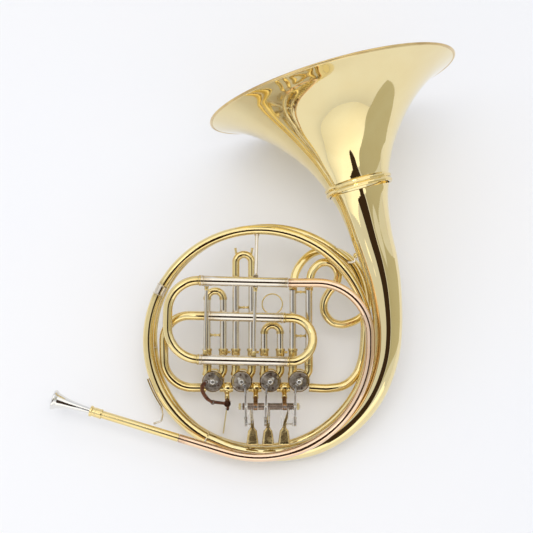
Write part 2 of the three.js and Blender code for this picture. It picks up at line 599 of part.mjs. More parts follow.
const [tx, ty] = THUMB_PIVOT;
const [jx, jy] = THUMB_JOINT;
add("thumb_post", fuse(
  tube(
    run([[-39.4, LINK_Y - 5, LINK_Z + 4.4], [-39, -67, 4, 5], [tx, ty, 4]], 30),
    [[0, 3.4], [4, 2.8]],
    { sides: 8 },
  ),
  turned(tx, ty, [[0, 0], [4, 0], [4, 8], [2.2, 8.2], [2.2, 12], [0, 12]], 12),
  turned(tx, ty, [[0, -4.5], [2.2, -4.5], [2.2, 1], [0, 1]], 12),
), brass());
const hub = (low, high, r) => turned(tx, ty, [[2.6, low], [r, low], [r, high], [2.6, high], [2.6, low]], 14);
const crank = carve(fuse(
  turned(tx, ty, [[0, 8.8], [4.2, 8.8], [4.2, 12], [0, 12]], 14),
  rod([tx - 3, ty + 0.3, 10.2], [jx, jy, 10.2], 1.9, { sides: 8 }),
  turned(jx, jy, [[0, 8.8], [2.6, 8.8], [2.6, 12], [0, 12]], 10),
), turned(tx, ty, [[0, 7], [2.6, 7], [2.6, 14], [0, 14]], 14));
const blade = block(-42, -98.5, -11, [1.6, 32, 13], rad(-8));
const spine = rod([tx + 0.6, ty - 6.8, 10.4], [tx - 1.4, ty - 9, -10], 1.6, { sides: 8 });
const web = rod([tx + 1, ty - 3.2, 10.4], [tx + 0.6, ty - 7, 10.4], 1.6, { sides: 8 });
add("thumb_lever", fuse(crank, web, spine, blade), bronze());
const tPin = [ROTOR_X[0] - THUMB_PIN_RADIUS, ROTOR_Y];
add("thumb_link", fuse(
  turned(jx, jy, [[0, 12.4], [2.6, 12.4], [2.6, 16.6], [0, 16.6]], 10),
  tube(
    bend([[jx, jy, 15.2], [-62.5, -69, 15.2], [-68.3, -60, 15.2], [-68.6, -53, 15.2], [...tPin, 15.2]], 9),
    2,
  ),
  turned(...tPin, [[0, 13.4], [2.6, 13.4], [2.6, 16.8], [0, 16.8]], 10),
), bronze());

// ---- braces ---------------------------------------------------------------------------------------------

// Stay plate lying against the outside of the ring, and the wire that runs from it to a neighbour
const arcPlate = (fromAngle, toAngle, radius, z) => {
  const outline = [];
  const count = 6;
  for (let k = 0; k <= count; k++) {
    const a = rad(fromAngle + ((toAngle - fromAngle) * k) / count);
    outline.push([OUTER.x + radius * Math.cos(a), OUTER.y + radius * Math.sin(a)]);
  }
  for (let k = count; k >= 0; k--) {
    const a = rad(fromAngle + ((toAngle - fromAngle) * k) / count);
    outline.push([OUTER.x + (radius + 1.6) * Math.cos(a), OUTER.y + (radius + 1.6) * Math.sin(a)]);
  }
  return plate(outline, z - 3, 6);
};
add("leadpipe_brace", fuse(
  arcPlate(199, 214.5, 143.1, 4),
  tube(
    run([[-119.6, -81, 4], [-117.5, -89, 10, 5], [-118.5, -96, 17, 4], [-127, -98.2, 20.8]], 30),
    1.4,
    { sides: 8 },
  ),
), brass());
add("bell_brace", fuse(
  tube(run([[116.8, 104.5, 12], [117, 97, 9, 4], [108.6, 96.4, 6]], 30), 1.4, { sides: 8 }),
  tube(run([[118.6, 105, 12], [115, 104, 12]]), [[0, 3.4], [2, 3.4], [3.6, 1.6]], { sides: 8 }),
), brass());

// Origin under the middle of the resting horn, at table height
horn.updateMatrixWorld(true);
const box = new THREE.Box3().setFromObject(horn, true);
horn.position.set(-(box.min.x + box.max.x) / 2, -(box.min.y + box.max.y) / 2, -box.min.z);
horn.updateMatrixWorld(true);

export default horn;
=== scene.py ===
"""French horn lying bell down on a pale floor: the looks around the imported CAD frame.

Shapes are built in the horn's own axes, in millimetres: x to the right along the row of rotors,
y up through the ring towards the bell, z out of the ring plane, with the origin at the ring's
centre. The rotor joints of the frame say where those axes lie in the world.
"""

import json
import math

import bpy
import numpy as np
from mathutils import Matrix, Vector


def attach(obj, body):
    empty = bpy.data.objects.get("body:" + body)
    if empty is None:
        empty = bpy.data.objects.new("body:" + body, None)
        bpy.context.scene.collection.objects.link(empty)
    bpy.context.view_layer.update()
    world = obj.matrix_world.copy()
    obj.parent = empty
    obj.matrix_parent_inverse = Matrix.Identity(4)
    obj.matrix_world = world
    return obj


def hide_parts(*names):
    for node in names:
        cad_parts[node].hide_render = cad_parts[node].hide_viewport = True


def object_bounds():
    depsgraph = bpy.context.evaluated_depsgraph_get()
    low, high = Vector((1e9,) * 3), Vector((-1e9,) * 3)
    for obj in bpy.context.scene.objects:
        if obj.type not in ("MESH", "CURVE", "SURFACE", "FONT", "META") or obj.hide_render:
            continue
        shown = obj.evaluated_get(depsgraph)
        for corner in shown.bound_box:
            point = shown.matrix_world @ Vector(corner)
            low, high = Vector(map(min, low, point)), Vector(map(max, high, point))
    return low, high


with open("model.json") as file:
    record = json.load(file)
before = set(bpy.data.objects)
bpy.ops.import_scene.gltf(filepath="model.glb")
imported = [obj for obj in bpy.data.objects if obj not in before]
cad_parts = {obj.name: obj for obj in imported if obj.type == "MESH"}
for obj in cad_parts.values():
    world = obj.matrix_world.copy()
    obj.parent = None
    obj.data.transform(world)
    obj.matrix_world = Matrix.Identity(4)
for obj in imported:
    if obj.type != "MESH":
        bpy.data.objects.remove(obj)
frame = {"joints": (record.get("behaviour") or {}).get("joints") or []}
CAD_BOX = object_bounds()
MM = 0.001

# ---- driving dimensions, in millimetres ----

WALL = 0.8
BELL_RADIUS = 154.4
FLARE_LENGTH = 122.5
BELL_RING = (121, 189.2, 12.5)
BELL_HEADING = 105.3  # degrees, seen along z
BELL_DROP = 4.4

RING_TUBE = 5.9
INNER_TUBE = 5.5
LEADPIPE_TUBE = 5.5
LEADPIPE_Z = 25
PIPE_START = np.array([-199, -84.2, 21])
SEAM = 0.64  # share of the leadpipe's straight part that is yellow brass
SLEEVE = 6
SLEEVE_BORE = 5.15
SLIDE_LEG = 4.6
BOW = 5.6
MAIN_TURN = -1.4

ROTOR_X = (-56.4, -21.3, 13.8, 48.9)
ROTOR_Y = -48.9
CASING_RADIUS = 13
CASING = (-18, 7.5)
LINK_Y = -57.6
LINK_Z = -4
PORT_OFFSET = 2.5
LEG_HALF = 9.8
LEG_Z = -4
RECEIVER_TOP = -9.5
RECEIVER_FOOT = -30
RECEIVER_TUBE = 5.5
RECEIVER_BORE = 4.85
VALVE_LEG = 4.45
BOW_HEIGHT = (51.5, 96.4, 9.6, 62)

HINGE_Y, HINGE_Z = -76.4, 30
HINGE_ENDS = (-22.6, 47)
SHANK_FOOT = -103
BALL_Y, BALL_Z = -100.4, 10
PIN_RADIUS = 7.2
PIN_Z = 14.5
THUMB_PIVOT = (-38.5, -75.5)
THUMB_JOINT = (-56, -73.5)
THUMB_PIN_RADIUS = 8
GAP = 0.3

SLIDE_CENTRE = (-20, 0)
UPPER, LOWER, MIDDLE = 73.3, -21.6, 30.3  # heights of the main slide's three straight runs
MAIN_Z = LEADPIPE_Z
MIDDLE_Z = 13

REST_ANGLES = (180, -50, 230, 230)  # stop arms, degrees
SWEEPS = (86, 86, -86, -86)
PLATE_TOP = 10.3
CORK_CIRCLE = 8.3

OUTER = (0, 1, 135.5)  # centre x, y and radius of the front turn of the ring
INNER = (3, 3.5, 134.5)
INNER_LOW = (1, 0.6, 134.5)
INNER_Z = -12

BEAD = 1.45  # rolled bead round the bell's rim
LOOK_AT_XY = (9.2, 91.4)
EYE_HEIGHT = 1300
LENS = 71.56

# ---- the horn's axes in the world ----

joints = {j["name"]: j for j in frame["joints"]}
first_rotor = Vector(joints["rotor_1_turn"]["pos_m"])
last_rotor = Vector(joints["rotor_4_turn"]["pos_m"])
OUT = Vector(joints["rotor_1_turn"]["axis"]).normalized()
RIGHT = (last_rotor - first_rotor).normalized()
UP = OUT.cross(RIGHT)
AXES = np.array([RIGHT, UP, OUT])
CENTRE = np.array(first_rotor) - MM * np.array([ROTOR_X[0], ROTOR_Y, LINK_Z]) @ AXES


def place(points):
    """Horn axes in millimetres to the world in metres."""
    return CENTRE + MM * np.asarray(points, float) @ AXES


def unit(v):
    v = np.asarray(v, float)
    return v / np.linalg.norm(v)


# ---- centrelines ----
# A centreline is an array of closely spaced points.


def straight(a, b):
    a, b = np.asarray(a, float), np.asarray(b, float)
    count = max(1, round(np.linalg.norm(b - a) / 1.5))
    return a + (b - a) * np.linspace(0, 1, count + 1)[:, None]


def turn_about(v, axis, angle):
    """v turned about a unit axis."""
    return (
        v * math.cos(angle)
        + np.cross(axis, v) * math.sin(angle)
        + axis * np.dot(axis, v) * (1 - math.cos(angle))
    )


def run(*corners):
    """Straight runs between corners (x, y, z, bend radius), each corner rounded to its radius."""
    line = [np.array([corners[0][:3]], float)]
    for i in range(1, len(corners)):
        here = np.array(corners[i][:3], float)
        if i == len(corners) - 1:
            line.append(straight(line[-1][-1], here)[1:])
            break
        before = unit(np.array(corners[i - 1][:3]) - here)
        after = unit(np.array(corners[i + 1][:3]) - here)
        angle = math.pi - math.acos(np.clip(np.dot(before, after), -1, 1))
        radius = corners[i][3]
        start = here + before * radius * math.tan(angle / 2)
        centre = here + unit(before + after) * radius / math.cos(angle / 2)
        axis = unit(np.cross(after, before))
        line.append(straight(line[-1][-1], start)[1:])
        steps = max(4, math.ceil(math.degrees(angle) / 2.5))
        arc = [centre + turn_about(start - centre, axis, angle * k / steps) for k in range(1, steps + 1)]
        line.append(np.array(arc))
    return np.concatenate(line)


def hoop(start, end):
    """Part of a turn of the ring; start and end are (x, y, z, radius, angle in degrees)."""
    start, end = np.array(start, float), np.array(end, float)
    t = np.linspace(0, 1, max(6, round(abs(end[4] - start[4]) / 1.2)) + 1)[:, None]
    x, y, z, r, angle = (start + (end - start) * t).T
    angle = np.radians(angle)
    return np.stack([x + r * np.cos(angle), y + r * np.sin(angle), z], 1)


def bend(points, spacing=1.5):
    """A free-form bend: a centripetal Catmull-Rom curve through the points."""
    p = np.array(points, float)
    p = np.concatenate([[2 * p[0] - p[1]], p, [2 * p[-1] - p[-2]]])
    line = []
    for i in range(1, len(p) - 2):
        a, b, c, d = p[i - 1 : i + 3]
        t0, t1 = 0.0, math.sqrt(np.linalg.norm(b - a))
        t2 = t1 + math.sqrt(np.linalg.norm(c - b))
        t3 = t2 + math.sqrt(np.linalg.norm(d - c))
        count = max(6, round(np.linalg.norm(c - b) / spacing))
        for t in np.linspace(t1, t2, count, endpoint=False):
            ab = ((t1 - t) * a + (t - t0) * b) / (t1 - t0)
            bc = ((t2 - t) * b + (t - t1) * c) / (t2 - t1)
            cd = ((t3 - t) * c + (t - t2) * d) / (t3 - t2)
            abc = ((t2 - t) * ab + (t - t0) * bc) / (t2 - t0)
            bcd = ((t3 - t) * bc + (t - t1) * cd) / (t3 - t1)
            line.append(((t2 - t) * abc + (t - t1) * bcd) / (t2 - t1))
    line.append(p[-2])
    return np.array(line)


def joined(*lines):
    """One centreline from several; a point that two of them share is kept once."""
    whole = [lines[0]]
    for line in lines[1:]:
        near = np.linalg.norm(line[0] - whole[-1][-1]) < 0.6
        whole.append(line[1:] if near else line)
    return np.concatenate(whole)


def reach_of(line):
    """How far along a centreline each of its points lies."""
    return np.concatenate([[0], np.cumsum(np.linalg.norm(np.diff(line, axis=0), axis=1))])


def length_of(line):
    return float(reach_of(line)[-1])


def part_of(line, start, end):
    """The stretch of a centreline between two distances along it."""
    reach = reach_of(line)
    marks = np.concatenate([[start], reach[(reach > start) & (reach < end)], [end]])
    return np.stack([np.interp(marks, reach, line[:, k]) for k in range(3)], 1)


# ---- poses of turned pieces ----


def pose(at, axis=(0, 0, 1), side=None):
    """A 4x4 placing local z along axis at a point; side fixes where local x goes."""
    z = unit(axis)
    x = np.array(side if side is not None else ((1, 0, 0) if abs(z[0]) < 0.9 else (0, 1, 0)), float)
    x = unit(x - z * np.dot(x, z))
    m = np.eye(4)
    m[:3, 0], m[:3, 1], m[:3, 2], m[:3, 3] = x, np.cross(z, x), z, at
    return m


def spin_z(x, y, degrees=0, at_z=0):
    """An upright pose at (x, y), turned about z."""
    a = math.radians(degrees)
    return pose((x, y, at_z), (0, 0, 1), (math.cos(a), math.sin(a), 0))


MAIN = spin_z(*SLIDE_CENTRE, MAIN_TURN)


def on_main(points):
    """Points given along the main slide's axes, in the horn's axes."""
    return np.asarray(points, float) @ MAIN[:3, :3].T + MAIN[:3, 3]


# ---- profiles ----
# A profile lists (distance along a tube, radius) or, for a turned piece, (radius, height).


def mirrored(foot, length, middle=None):
    """A profile that starts as foot does and ends as its mirror image; middle is the radius halfway."""
    centre = [(length / 2, middle)] if middle else []
    return [*foot, *centre, *((length - s, r) for s, r in reversed(foot))]


def boss(radius, low, high, bore=0):
    """A round boss with eased edges."""
    wall = [(radius - 0.3, low), (radius, low + 0.3), (radius, high - 0.3), (radius - 0.3, high)]
    return [(bore, low), *wall, (bore, high), *([(bore, low)] if bore else [])]


def circle(centre, radius, low, high, count):
    """Points on an arc from the angle low to high, both in degrees."""
    return [
        (centre[0] + radius * math.cos(a), centre[1] + radius * math.sin(a))
        for a in np.radians(np.linspace(low, high, count))
    ]


# ---- solids ----


class Form:
    """Gathers the surfaces of one piece. A vertex's seam is 1 beside a joint and 0 on a plain wall."""

    def __init__(self):
        self.vertices, self.faces, self.slots, self.seams = [], [], [], []
        self.materials = []

    def _slot(self, material):
        if material not in self.materials:
            self.materials.append(material)
        return self.materials.index(material)

    def add(self, points, faces, material, seam=None):
        base = sum(len(v) for v in self.vertices)
        self.vertices.append(np.asarray(points, float))
        self.seams.append(np.zeros(len(points)) if seam is None else np.asarray(seam, float))
        self.faces += [[base + i for i in face] for face in faces]
        self.slots += [self._slot(material)] * len(faces)

    def rings(self, rings, material, seam=None, closed=False):
        """Skins a list of rings of points. closed joins last to first; otherwise both ends are filled."""
        rows, sides = len(rings), len(rings[0])
        points = np.concatenate(rings)
        faces = []
        for i in range(rows if closed else rows - 1):
            j = (i + 1) % rows
            for k in range(sides):
                n = (k + 1) % sides
                faces.append([i * sides + k, i * sides + n, j * sides + n, j * sides + k])
        if not closed:
            faces.append(list(range(sides))[::-1])
            faces.append([(rows - 1) * sides + k for k in range(sides)])
        self.add(points, faces, material, None if seam is None else np.repeat(seam, sides))

    def tube(self, line, stages, material, sides=24, wall=0, bore=0, joints=()):
        """A tube along a centreline. stages is a radius or a list of (distance, radius);
        wall or bore opens it at both ends; joints are distances where solder has darkened the wall."""
        reach = reach_of(line)
        length = reach[-1]
        if not isinstance(stages, (list, tuple)):
            stages = [(0, stages), (length, stages)]
        stages = [(min(s, length), r) for s, r in stages]
        if stages[-1][0] < length:
            stages.append((length, stages[-1][1]))
        tangents = np.gradient(line, axis=0)
        tangents /= np.linalg.norm(tangents, axis=1)[:, None]
        keep, turned, last = [0.0], 0.0, 0.0
        for i in range(1, len(line)):
            turned += math.acos(np.clip(np.dot(tangents[i], tangents[i - 1]), -1, 1))
            if turned > math.radians(3) or reach[i] - last > 14:
                keep.append(float(reach[i]))
                turned, last = 0.0, reach[i]
        marks = []
        for i, (s, r) in enumerate(stages):
            marks.append((s, r))
            if i + 1 < len(stages):
                t, q = stages[i + 1]
                held = []
                if t - s > 1.6:
                    held = [s + 0.2, s + 0.6, *(d for d in keep if s + 1 < d < t - 1), t - 0.6, t - 0.2]
                marks += [(d, r + (q - r) * (d - s) / (t - s)) for d in held]
        at = np.array([m[0] for m in marks])
        radii = np.array([m[1] for m in marks])
        centres = np.stack([np.interp(at, reach, line[:, k]) for k in range(3)], 1)
        along = np.stack([np.interp(at, reach, tangents[:, k]) for k in range(3)], 1)
        along /= np.linalg.norm(along, axis=1)[:, None]
        side = np.array([0.0, 0.0, 1.0]) if abs(along[0][2]) < 0.9 else np.array([1.0, 0.0, 0.0])
        angles = np.linspace(0, 2 * math.pi, sides, endpoint=False)
        spokes = []
        for a in along:
            side = unit(side - a * np.dot(side, a))
            spokes.append(np.outer(np.cos(angles), side) + np.outer(np.sin(angles), np.cross(a, side)))
        rings = [c + s * r for c, s, r in zip(centres, spokes, radii)]
        seam = [max([math.exp(-abs(d - j) / 2.2) for j in joints], default=0) for d in at]
        if not wall and not bore:
            self.rings(rings, material, seam)
            return
        inner = [c + s * (bore or max(r - wall, 0.2)) for c, s, r in zip(centres, spokes, radii)]
        self.rings(rings + inner[::-1], material, seam + seam[::-1], closed=True)

    def turned(self, place_at, profile, material, sides=32, flutes=0, depth=0.0):
        """A turned piece; profile lists (radius, height) and may close on itself. flutes cut a knurl."""
        closed = np.allclose(profile[0], profile[-1])
        held = []
        for (r, h), (q, t) in zip(profile, profile[1:]):
            size = math.hypot(q - r, t - h)
            held.append((r, h))
            if size > 1.2:
                for k in (0.12, 0.35, size - 0.35, size - 0.12):
                    held.append((r + (q - r) * k / size, h + (t - h) * k / size))
        points = held if closed else [*held, profile[-1]]
        angles = np.linspace(0, 2 * math.pi, sides, endpoint=False)
        knurl = 1 - depth * (0.5 + 0.5 * np.cos(angles * flutes)) if flutes else np.ones(sides)
        outermost = max(r for r, _ in points)
        rings = []
        for r, h in points:
            cut = knurl if flutes and r > outermost * 0.985 else 1
            ring = np.stack([r * cut * np.cos(angles), r * cut * np.sin(angles), np.full(sides, h)], 1)
            rings.append(ring @ place_at[:3, :3].T + place_at[:3, 3])
        if not closed:
            rings = [ring for ring, (r, _) in zip(rings, points) if r > 1e-6]
        self.rings(rings, material, closed=closed)

    def plate(self, outline, low, high, material, edge=0.25, place_at=None, crown=()):
        """A flat plate with its edges eased; crown lists further (height, inset) steps of a domed top."""
        p = np.array(outline, float)
        area = np.sum(p[:, 0] * np.roll(p[:, 1], -1) - np.roll(p[:, 0], -1) * p[:, 1])
        if area < 0:
            p = p[::-1]
        back, ahead = p - np.roll(p, 1, 0), np.roll(p, -1, 0) - p
        back /= np.linalg.norm(back, axis=1)[:, None]
        ahead /= np.linalg.norm(ahead, axis=1)[:, None]
        normal = np.stack([back[:, 1] + ahead[:, 1], -back[:, 0] - ahead[:, 0]], 1)
        normal /= np.maximum(np.linalg.norm(normal, axis=1)[:, None], 1e-6)
        m = np.eye(4) if place_at is None else place_at
        rings = []
        for z, inset in [(low, edge), (low + edge, 0), (high - edge, 0), (high, edge), *crown]:
            ring = np.column_stack([p - normal * inset, np.full(len(p), z)])
            rings.append(ring @ m[:3, :3].T + m[:3, 3])
        self.rings(rings, material)

    def screw(self, place_at, radius, height, turn=25):
        """A slotted cheese-head screw standing on the local xy plane."""
        middle = height / 2
        self.turned(place_at, [(0, 0), (radius, 0), (radius, middle), (0, middle)], BRIGHT, 24)
        slot = 0.5
        dip = math.degrees(math.asin(slot / 2 / radius))
        for half_turn in (turn, turn + 180):
            half_disc = circle((0, 0), radius, half_turn + dip, half_turn + 180 - dip, 13)
            self.plate(half_disc, middle, height, BRIGHT, min(0.18, height * 0.2), place_at)

    def coil(self, place_at, radius, wire, length, turns, material):
        t = np.linspace(0, 1, int(turns * 18) + 1)
        a = 2 * math.pi * turns * t
        local = np.stack([radius * np.cos(a), radius * np.sin(a), length * t], 1)
        self.tube(local @ place_at[:3, :3].T + place_at[:3, 3], wire, material, sides=8)

    def build(self, name, body, node, smooth=38):
        """Makes the Blender object: it rides on a body and stands for a CAD node."""
        mesh = bpy.data.meshes.new(name)
        points = place(np.concatenate(self.vertices))
        mesh.from_pydata(points.tolist(), [], self.faces)
        for material in self.materials:
            mesh.materials.append(material)
        mesh.polygons.foreach_set("material_index", self.slots)
        seam = mesh.attributes.new("seam", "FLOAT", "POINT")
        seam.data.foreach_set("value", np.concatenate(self.seams).astype(np.float32))
        mesh.validate()
        mesh.update()
        mesh.polygons.foreach_set("use_smooth", [True] * len(mesh.polygons))
        mesh.set_sharp_from_angle(angle=math.radians(smooth))
        obj = bpy.data.objects.new(name, mesh)
        bpy.context.scene.collection.objects.link(obj)
        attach(obj, body)
        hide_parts(node)


def pipe(name, node, line, stages, material, sides=24, wall=0, smooth=38, joints=()):
    """A piece of the horn body that is one tube, soldered at both ends unless joints say otherwise."""
    form = Form()
    form.tube(line, stages, material, sides, wall, joints=joints or (0, length_of(line)))
    form.build(name, "horn", node, smooth)


# ---- materials ----


class Nodes:
    """Short calls for building one material's node tree."""

    def __init__(self, name):
        self.material = bpy.data.materials.new(name)
        self.material.use_nodes = True
        self.tree = self.material.node_tree
        self.shader = self.tree.nodes["Principled BSDF"]
        self.coords = self.add("ShaderNodeTexCoord").outputs["Object"]

    def add(self, kind, **settings):
        n = self.tree.nodes.new(kind)
        for key, value in settings.items():
            setattr(n, key, value)
        return n

    def link(self, source, target):
        self.tree.links.new(source, target)

    def noise(self, scale, detail=3.0, rough=0.5, distortion=0.0, stretch=(1, 1, 1)):
        mapping = self.add("ShaderNodeMapping")
        mapping.inputs["Scale"].default_value = stretch
        self.link(self.coords, mapping.inputs["Vector"])
        n = self.add("ShaderNodeTexNoise")
        self.link(mapping.outputs["Vector"], n.inputs["Vector"])
        n.inputs["Scale"].default_value = scale
        n.inputs["Detail"].default_value = detail
        n.inputs["Roughness"].default_value = rough
        n.inputs["Distortion"].default_value = distortion
        return n.outputs["Fac"]

    def remap(self, value, low, high, to_low=0.0, to_high=1.0):
        n = self.add("ShaderNodeMapRange")
        self.link(value, n.inputs["Value"])
        for key, number in zip(("From Min", "From Max", "To Min", "To Max"), (low, high, to_low, to_high)):
            n.inputs[key].default_value = number
        return n.outputs["Result"]

    def mix(self, factor, a, b):
        n = self.add("ShaderNodeMix", data_type="RGBA")
        self.link(factor, n.inputs["Factor"])
        for key, value in (("A", a), ("B", b)):
            socket = next(s for s in n.inputs if s.name == key and s.type == "RGBA")
            if isinstance(value, (tuple, list)):
                socket.default_value = (*value[:3], 1)
            else:
                self.link(value, socket)
        return next(s for s in n.outputs if s.type == "RGBA")

    def math(self, operation, a, b):
        n = self.add("ShaderNodeMath", operation=operation)
        for i, value in enumerate((a, b)):
            if isinstance(value, (int, float)):
                n.inputs[i].default_value = value
            else:
                self.link(value, n.inputs[i])
        return n.outputs[0]

    def bump(self, height, strength, distance, below=None):
        n = self.add("ShaderNodeBump")
        n.inputs["Strength"].default_value = strength
        n.inputs["Distance"].default_value = distance
        self.link(height, n.inputs["Height"])
        if below:
            self.link(below, n.inputs["Normal"])
        return n.outputs["Normal"]


def metal(
    name, colour, deep, rough, coat=0.0, mottle=0.35, speck=0.2, scratch=0.05, dent=0.02, fine=1, joint=None
):
    """Worn metal: cloudy colour, fine specks, smudged gloss, hairline scratches and darkened joints."""
    m = Nodes(name)
    cloud = m.remap(m.noise(23 * fine, 4, 0.55, 0.6), 0.35, 0.7, 0, mottle)
    base = m.mix(cloud, colour, deep)
    dots = m.remap(m.noise(900, 2, 0.6), 0.66, 0.74, 0, speck)
    base = m.mix(dots, base, tuple(c * 0.45 for c in deep))
    seam = m.add("ShaderNodeAttribute", attribute_name="seam").outputs["Fac"]
    ragged = m.math("MULTIPLY", seam, m.remap(m.noise(260, 3, 0.6), 0.3, 0.7, 0.25, 0.9))
    base = m.mix(ragged, base, joint or tuple(c * 0.5 for c in deep))
    m.link(base, m.shader.inputs["Base Color"])
    smudge = m.remap(m.noise(70, 5, 0.62, 1.4), 0.38, 0.72, rough[0], rough[1])
    wiped = m.remap(m.noise(18, 3, 0.5, 0.3, (1, 6, 1)), 0.45, 0.8, 0, (rough[1] - rough[0]) * 0.5)
    gloss = m.math("ADD", m.math("ADD", smudge, wiped), m.math("MULTIPLY", ragged, 0.18))
    m.link(gloss, m.shader.inputs["Roughness"])
    lines = m.noise(240, 2, 0.5, 0.2, (1, 14, 3))
    hammer = m.noise(34 * fine, 2, 0.4)
    m.link(m.bump(lines, scratch, 0.00003, m.bump(hammer, dent, 0.0006)), m.shader.inputs["Normal"])
    m.shader.inputs["Metallic"].default_value = 1
    m.shader.inputs["Coat Weight"].default_value = coat
    m.shader.inputs["Coat Roughness"].default_value = 0.04
    return m.material


def cork(name, colour, deep):
    m = Nodes(name)
    grain = m.remap(m.noise(180, 5, 0.65), 0.35, 0.65)
    m.link(m.mix(grain, colour, deep), m.shader.inputs["Base Color"])
    m.link(m.remap(m.noise(360, 2), 0.3, 0.7, 0.7, 0.9), m.shader.inputs["Roughness"])
    m.link(m.bump(m.noise(288, 6, 0.7), 0.35, 0.0003), m.shader.inputs["Normal"])
    return m.material


BRASS = metal("lacquered_brass", (0.88, 0.72, 0.35), (0.76, 0.53, 0.18), (0.015, 0.075), coat=0.35)
SHEET = metal(
    "bell_brass", (0.88, 0.75, 0.41), (0.80, 0.61, 0.26), (0.012, 0.06), coat=0.35, mottle=0.3, dent=0.014
)
ROSE = metal("rose_brass", (0.93, 0.69, 0.49), (0.80, 0.48, 0.30), (0.015, 0.08), coat=0.35)
NICKEL = metal(
    "nickel_silver", (0.82, 0.77, 0.68), (0.66, 0.58, 0.46), (0.02, 0.1), joint=(0.5, 0.36, 0.16)
)
SILVER = metal("silver_plate", (0.86, 0.85, 0.82), (0.62, 0.60, 0.56), (0.04, 0.14), mottle=0.3)
STEEL = metal(
    "rotor_steel", (0.58, 0.52, 0.44), (0.10, 0.06, 0.035), (0.24, 0.46),
    mottle=1.0, speck=0.9, scratch=0.35, dent=0.45, fine=7,
)
BRIGHT = metal(
    "screw_steel", (0.84, 0.83, 0.80), (0.45, 0.43, 0.40), (0.16, 0.32), mottle=0.6, dent=0.2, fine=8
)
BRONZE = metal(
    "dark_bronze", (0.20, 0.085, 0.05), (0.07, 0.03, 0.02), (0.16, 0.42),
    mottle=0.9, speck=0.35, scratch=0.15, dent=0.1, fine=5,
)
WORN = metal(
    "worn_brass", (0.82, 0.65, 0.31), (0.46, 0.31, 0.12), (0.17, 0.36),
    mottle=0.85, speck=0.4, scratch=0.15, dent=0.15, fine=5,
)
# Rim brass, darker and rougher than the bell's sheet: brass colour with painted shade for the dark outline
# along the bead
SHADED_RIM = metal("rim_brass_painted_shade", (0.80, 0.61, 0.29), (0.48, 0.31, 0.12), (0.06, 0.2), mottle=0.7)
SATIN = metal("satin_brass", (0.88, 0.75, 0.42), (0.66, 0.48, 0.20), (0.34, 0.52), mottle=0.4, scratch=0.15)
BARREL = metal(
    "barrel_steel", (0.30, 0.23, 0.18), (0.11, 0.07, 0.045), (0.2, 0.42), mottle=0.9, speck=0.35, fine=6
)
ROD = metal(
    "rod_steel", (0.60, 0.585, 0.56), (0.26, 0.24, 0.22), (0.12, 0.30), mottle=0.8, dent=0.2, fine=8
)
ARM = metal("arm_silver", (0.90, 0.89, 0.87), (0.60, 0.58, 0.55), (0.30, 0.46), mottle=0.5, dent=0.3, fine=8)
AMBER = metal(
    "post_bronze", (0.36, 0.20, 0.09), (0.13, 0.065, 0.035), (0.16, 0.40),
    mottle=0.8, speck=0.35, dent=0.1, fine=5,
)
CORK = cork("stop_cork", (0.11, 0.055, 0.03), (0.03, 0.018, 0.012))

# ---- bell ----

heading, drop = math.radians(BELL_HEADING), math.radians(BELL_DROP)
flat = math.cos(drop)
BELL = pose(BELL_RING, (math.cos(heading) * flat, math.sin(heading) * flat, -math.sin(drop)), (0, 0, 1))

flare_marks = [
    (38.2, 1, 0), (40.9, 9, 0), (45.6, 20, 0), (55, 38, 0), (68, 56.5, 0), (86, 77.5, 0), (107, 96, 0),
    (128, 109.2, 0), (BELL_RADIUS - 3, FLARE_LENGTH - 3.4, 0),
]
outside = bend(flare_marks, 1.6)[:, :2]
slope = np.gradient(outside, axis=0)
slope /= np.linalg.norm(slope, axis=1)[:, None]
inside = outside + np.column_stack([-slope[:, 1], slope[:, 0]]) * WALL
bead_at = (BELL_RADIUS - BEAD, FLARE_LENGTH - BEAD - 0.35)
form = Form()
form.turned(BELL, [
    *map(tuple, outside), *circle(bead_at, BEAD, -150, 135, 15), *map(tuple, inside[::-1]), tuple(outside[0]),
], SHEET, sides=144)
# A skin over the whole bead in the darker rim brass: painted shade along the rim's outline
form.turned(BELL, circle(bead_at, BEAD + 0.06, 0, 360, 21), SHADED_RIM, sides=144)
form.build("bell_flare_shell", "horn", "bell_flare", smooth=60)


def collar(name, node, low, high, bore, crest):
    """A turned collar with eased corners and a raised middle."""
    belly, middle = 40.6, (low + high) / 2
    form = Form()
    form.turned(BELL, [
        (bore, low), (belly - 0.35, low), (belly, low + 0.3), (crest, middle - 0.7), (crest, middle + 0.7),
        (belly, high - 0.3), (belly - 0.35, high), (bore, high), (bore, low),
    ], BRASS, sides=144)
    form.build(name, "horn", node)


collar("bell_ring_top", "bell_ring_upper", 0.35, 5.4, 40.1, 41.6)
collar("bell_ring_foot", "bell_ring_lower", -5.4, -0.15, 37.4, 41.5)

taper = bend([
    (0, 36.4, 0), (10, 33, 0), (24, 29.6, 0), (40, 27, 0), (60, 24.9, 0), (90, 22.7, 0), (126, 19.9, 0),
    (178, 17.2, 0), (262, 15, 0), (305, 13.4, 0), (385, 9.9, 0), (455, 8, 0), (520, 7.4, 0),
], 4)[:, :2]
line = bend([
    (122.5, 183.6, 12.9), (136, 132, 13), (146, 98, 12), (153, 65, 11), (157, 14, 9.5), (153, -24, 9),
    (137, -66, 8), (110.4, -99.4, 7), (76, -123.5, 6), (42, -134.5, 5.4), (5, -137, 4.8),
    (-32, -131.2, 4.4), (-63.6, -118.6, 4),
])
pipe(
    "bell_tail_cone", "bell_tail", line, [*map(tuple, taper)], SHEET,
    sides=64, wall=WALL, smooth=60, joints=(length_of(line),),
)

# ---- body ring ----



def state(turn, z, angle):
    """One end of a hoop on a turn of the ring."""
    return (*turn[:2], z, turn[2], angle)


line = hoop(state(OUTER, 3, 12.3), state(OUTER, 3.5, 150))
pipe("ring_front_turn", "ring_outer_upper", line, RING_TUBE, BRASS)

